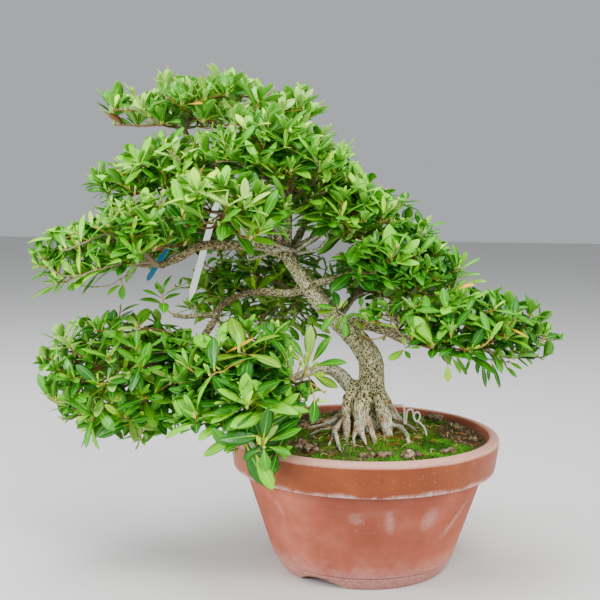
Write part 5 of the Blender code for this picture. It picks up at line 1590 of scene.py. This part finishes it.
def make_buds(hearts, rng):
    """A plump pointed bud in the heart of each rosette: a profile of six rings turned about its
    axis, closed at both ends, green above and brown on its lowest scales."""
    hearts = np.array(hearts)
    tip, axis = hearts[:, :3], hearts[:, 3:]
    across, other = round_axis(axis)
    share = np.array([0.0, 0.1, 0.35, 0.6, 0.85, 1.0])
    girth = np.array([0.25, 0.8, 1.0, 0.8, 0.36, 0.04])
    size = rng.uniform(4.6, 7.6, len(hearts))[:, None, None, None]
    angle = np.linspace(0, 2 * math.pi, 6, endpoint=False)[None, None, :, None]
    ring = np.cos(angle) * across[:, None, None] + np.sin(angle) * other[:, None, None]
    rings = (tip - axis * 1.2)[:, None, None] + axis[:, None, None] * share[None, :, None, None] * size
    points = rings + ring * girth[None, :, None, None] * size * 0.24
    edge, count = np.arange(6), len(hearts)
    corners, sides = faces_of(grid_faces(6, 6), edge[None, ::-1], 30 + edge[None])
    corners = corners + 36 * np.arange(count)[:, None]
    kinds = np.concatenate([np.repeat([2, 0, 0, 1, 1], 6), [2, 1]])
    mesh = mesh_of("buds", points.reshape(-1, 3), corners.ravel(), np.tile(sides, count), np.tile(kinds, count))
    new_piece("buds", mesh, BUD_MATERIALS, "foliage")


def make_mass(name, number):
    """One mass: set and widely spread tips first, then finer ones between and beyond them, all on one
    branching skeleton, with a rosette of leaves at each tip. It returns the rosettes' hearts."""
    mass = MASSES[name]
    rng = np.random.default_rng(SEED + number)
    limb = smooth_path(BOUGHS[mass["bough"]], TWIG_STEP)
    stem = limb[len(limb) // 3:]
    end = stem[-1, :3]
    heads = [np.array(place, float) for place in mass.get("heads", ())]
    main = heads + tip_targets(name, mass["tips"], 0.4, 0.8, mass["leaf"][0] * 0.5, [end, *heads], rng)
    main.sort(key=lambda place: np.linalg.norm(place - end))
    fine = tip_targets(name, mass["fine"], 0.5, 1.0, mass["leaf"][0] * 0.55, [end, *main], rng)
    fine.sort(key=lambda place: np.linalg.norm(place - end))
    places, parents, headings, tips = grow(name, stem[:, :3], main + fine, rng)
    middle = np.array(mass["at"], float) - (0, 0, DROP)
    rows, hearts = [], []
    for tip in tips:
        leaves, heart = rosette(places[tip], headings[tip], middle, mass["leaf"], mass["tint"], rng)
        rows += leaves
        hearts.append(heart)
    leaf_piece(name.replace("leaves", "foliage"), fitted(name, np.array(rows)), name)
    twigs = []
    for chain in twig_chains(places, parents, tips, stem[:, 3]):
        line = smooth_path(chain, 5.0)
        load = chain[:, 4].max()
        kind = 0 if load > 5 else (1 if load > 1 else 2)
        twigs.append((*tube(line[:, :4], 7 if load > 4 else 5), kind))
    points, corners, sides, kinds = joined(twigs)
    twig_name = name.replace("leaves", "twigs")
    new_piece(twig_name, mesh_of(twig_name, points, corners, sides, kinds), TWIG_MATERIALS, "bark")
    return hearts


# ---- the tie
TIE_RADIUS = 0.8
TIE_WIRE = (
    (22, -8, 163), (27.3, -10, 164), (33.3, -11, 164.4), (38.2, -12, 164.2), (39.6, -12, 160.7),
    (39.6, -12.5, 152.7), (39.8, -13.5, 146.2), (41, -14, 146.2), (41.8, -13, 153.6), (42, -12.5, 157.8),
    (44.4, -12, 160.2),
    (47.6, -11, 159.4), (48.6, -11, 154.6), (49.4, -12, 150.4), (52, -12.6, 148.6), (54.6, -13, 151.3),
    (55, -13, 155.2), (52.8, -13.4, 158.2), (50, -14.6, 157.3), (49.2, -15.4, 153.6), (51, -16, 149.4),
    (53.9, -16.4, 149), (57.0, -17, 146.2), (60.2, -18, 141.6), (61.8, -19, 136),
)


def make_tie():
    """A round wire carried along its bends."""
    path = smooth_path(TIE_WIRE, 1.2)
    points, corners, sides = tube(np.column_stack([path, np.full(len(path), TIE_RADIUS)]), 12)
    wire = plain("white_coated_wire", (240, 238, 228), 0.4)
    new_piece("white_tie", mesh_of("white_tie", points, corners, sides), [wire], "tie_wire", "tie_wire")


# ---- labels
def make_label(name, finish):
    """A thin blade along a line: an outline that is straight down both sides and round or pointed at
    the end, carried through the thickness, with a small hole near the round end. `across` and `down`
    give the outline, and `inner_across` and `inner_down` the hole's, point by point."""
    top, tip, face, pointed = LABELS[name]
    top, tip, face, half = np.array(top, float), np.array(tip, float), np.array(face), LABEL_HALF_WIDTH
    along = unit(tip - top)
    front = unit(face - along * (along @ face))
    side = np.cross(front, along)
    length = np.linalg.norm(tip - top)
    a = np.linspace(0, math.pi, 13)
    nose = np.cos(a) * half, np.sin(a) * half
    if pointed:
        share = 1 - a * 2 / math.pi
        nose = share * half, 11.0 * (1 - np.abs(share))
    reach = length - nose[1].max()
    across = np.concatenate([[half], nose[0], [-half]])
    down = np.concatenate([[0], reach + nose[1], [0]])
    inner_across = np.concatenate([[0.4], 1.3 * np.cos(a), [-0.4]])
    inner_down = np.concatenate([[reach - 5.5], reach - 2.0 + 1.3 * np.sin(a), [reach - 5.5]])
    if pointed:
        inner_across, inner_down = across * 0.02, down * 0.98
    flat = np.concatenate([np.column_stack([across, down]), np.column_stack([inner_across, inner_down])])
    place = top + flat[:, :1] * side + flat[:, 1:] * along
    points = np.concatenate([place + front * LABEL_THICKNESS / 2, place - front * LABEL_THICKNESS / 2])
    rim = len(across)
    back = 2 * rim
    one = np.arange(rim)
    after = (one + 1) % rim
    ring = np.stack([one, after, after + rim, one + rim], 1)
    edge = np.stack([one + back, after + back, after, one], 1)
    bore = np.stack([rim + one, rim + after, rim + after + back, rim + one + back], 1)
    quads = np.vstack([ring, ring[:, ::-1] + back, edge, bore])
    tag = name.replace("label", "tag")
    new_piece(tag, mesh_of(tag, points, *faces_of(quads[:, ::-1]), smooth=False), [finish], name, name)


# ---- studio
# Lights: name, place, what it looks at, watts, width, height, colour.
LIGHTS = (
    ("key", (0.7, -1.2, 1.7), (0.02, 0, 0.24), 36, 0.8, 0.8, (1.0, 0.98, 0.95)),
    ("overhead", (-0.2, 0.1, 1.9), (0, 0, 0.2), 46, 1.3, 1.1, (1, 1, 1)),
    ("left_fill", (-1.6, -0.9, 0.9), (-0.1, 0, 0.28), 58, 1.2, 1.2, (0.94, 0.97, 1.0)),
    ("right_fill", (1.6, -0.5, 0.7), (0.1, 0, 0.2), 22, 1.2, 1.2, (1, 1, 1)),
)


def area_light(name, place, aim, power, width, height, colour):
    """A rectangle of light at a place, turned to look at its aim."""
    lamp = bpy.data.lights.new(name, "AREA")
    lamp.shape = "RECTANGLE"
    lamp.size, lamp.size_y = width, height
    lamp.energy = power
    lamp.color = colour
    holder = bpy.data.objects.new(name, lamp)
    bpy.context.scene.collection.objects.link(holder)
    holder.location = place
    holder.rotation_euler = (Vector(aim) - Vector(place)).to_track_quat("-Z", "Y").to_euler()


def make_studio():
    """A pale floor, an even sky and four soft lights."""
    floor = bpy.data.meshes.new("studio_floor")
    size = 6.0
    corners = [(-size, -size, 0), (size, -size, 0), (size, size, 0), (-size, size, 0)]
    floor.from_pydata(corners, [], [(0, 1, 2, 3)])
    ground = bpy.data.objects.new("studio_floor", floor)
    bpy.context.scene.collection.objects.link(ground)
    floor.materials.append(plain("pale_floor", (206, 206, 204), 0.7, 0.3))
    world = bpy.data.worlds.new("studio")
    world.use_nodes = True
    sky = world.node_tree.nodes["Background"].inputs
    sky["Color"].default_value = (0.78, 0.8, 0.83, 1)
    sky["Strength"].default_value = 0.6
    bpy.context.scene.world = world
    for light in LIGHTS:
        area_light(*light)


CAMERA_BACK, CAMERA_HEIGHT = 1.0923, 0.3861      # metres in front of the pot's axis, and above the floor


def make_camera():
    """At the height of the crown's middle, six degrees down and three and a half to the left."""
    pitch, yaw, roll = math.radians(6.227), math.radians(-3.463), math.radians(0.534)
    ahead = Vector((math.sin(yaw) * math.cos(pitch), math.cos(yaw) * math.cos(pitch), -math.sin(pitch)))
    level = Vector((math.cos(yaw), -math.sin(yaw), 0))
    upright = level.cross(ahead)
    right = math.cos(roll) * level + math.sin(roll) * upright
    up = -math.sin(roll) * level + math.cos(roll) * upright
    lens = bpy.data.cameras.new("camera")
    lens.lens, lens.sensor_width = 66.0, 36.0
    lens.clip_start, lens.clip_end = 0.05, 30
    camera = bpy.data.objects.new("camera", lens)
    bpy.context.scene.collection.objects.link(camera)
    turned = Matrix((right, up, -ahead)).transposed().to_4x4()
    place = Vector((POT_AXIS[0] * MM, -CAMERA_BACK + POT_AXIS[1] * MM, CAMERA_HEIGHT))
    camera.matrix_world = Matrix.Translation(place) @ turned
    bpy.context.scene.camera = camera


# ---- the whole
def main():
    """Every piece in the order that the random draws need."""
    rng = np.random.default_rng(SEED)
    make_camera()
    make_studio()
    make_pot()
    make_soil(soil_finish())
    make_moss(rng)
    make_litter(rng, stone_finish())
    make_flakes(plain("dry_leaf", (176, 112, 56), 0.7, 0.3))
    make_rootlets(rng)
    bark = bark_finish()
    make_trunk(bark)
    make_boughs(bark)
    hearts = [heart for number, name in enumerate(MASSES) for heart in make_mass(name, number)]
    make_loose_leaves()
    make_buds(hearts, rng)
    make_tie()
    # The white label glows with painted light, so it looks lit though it stands in the foliage's shade.
    make_label("white_label", label_finish("white_plastic", srgb(253, 254, 255), srgb(240, 240, 238), 0.45))
    make_label("blue_label", label_finish("blue_plastic", srgb(40, 138, 214), srgb(70, 150, 214)))


main()
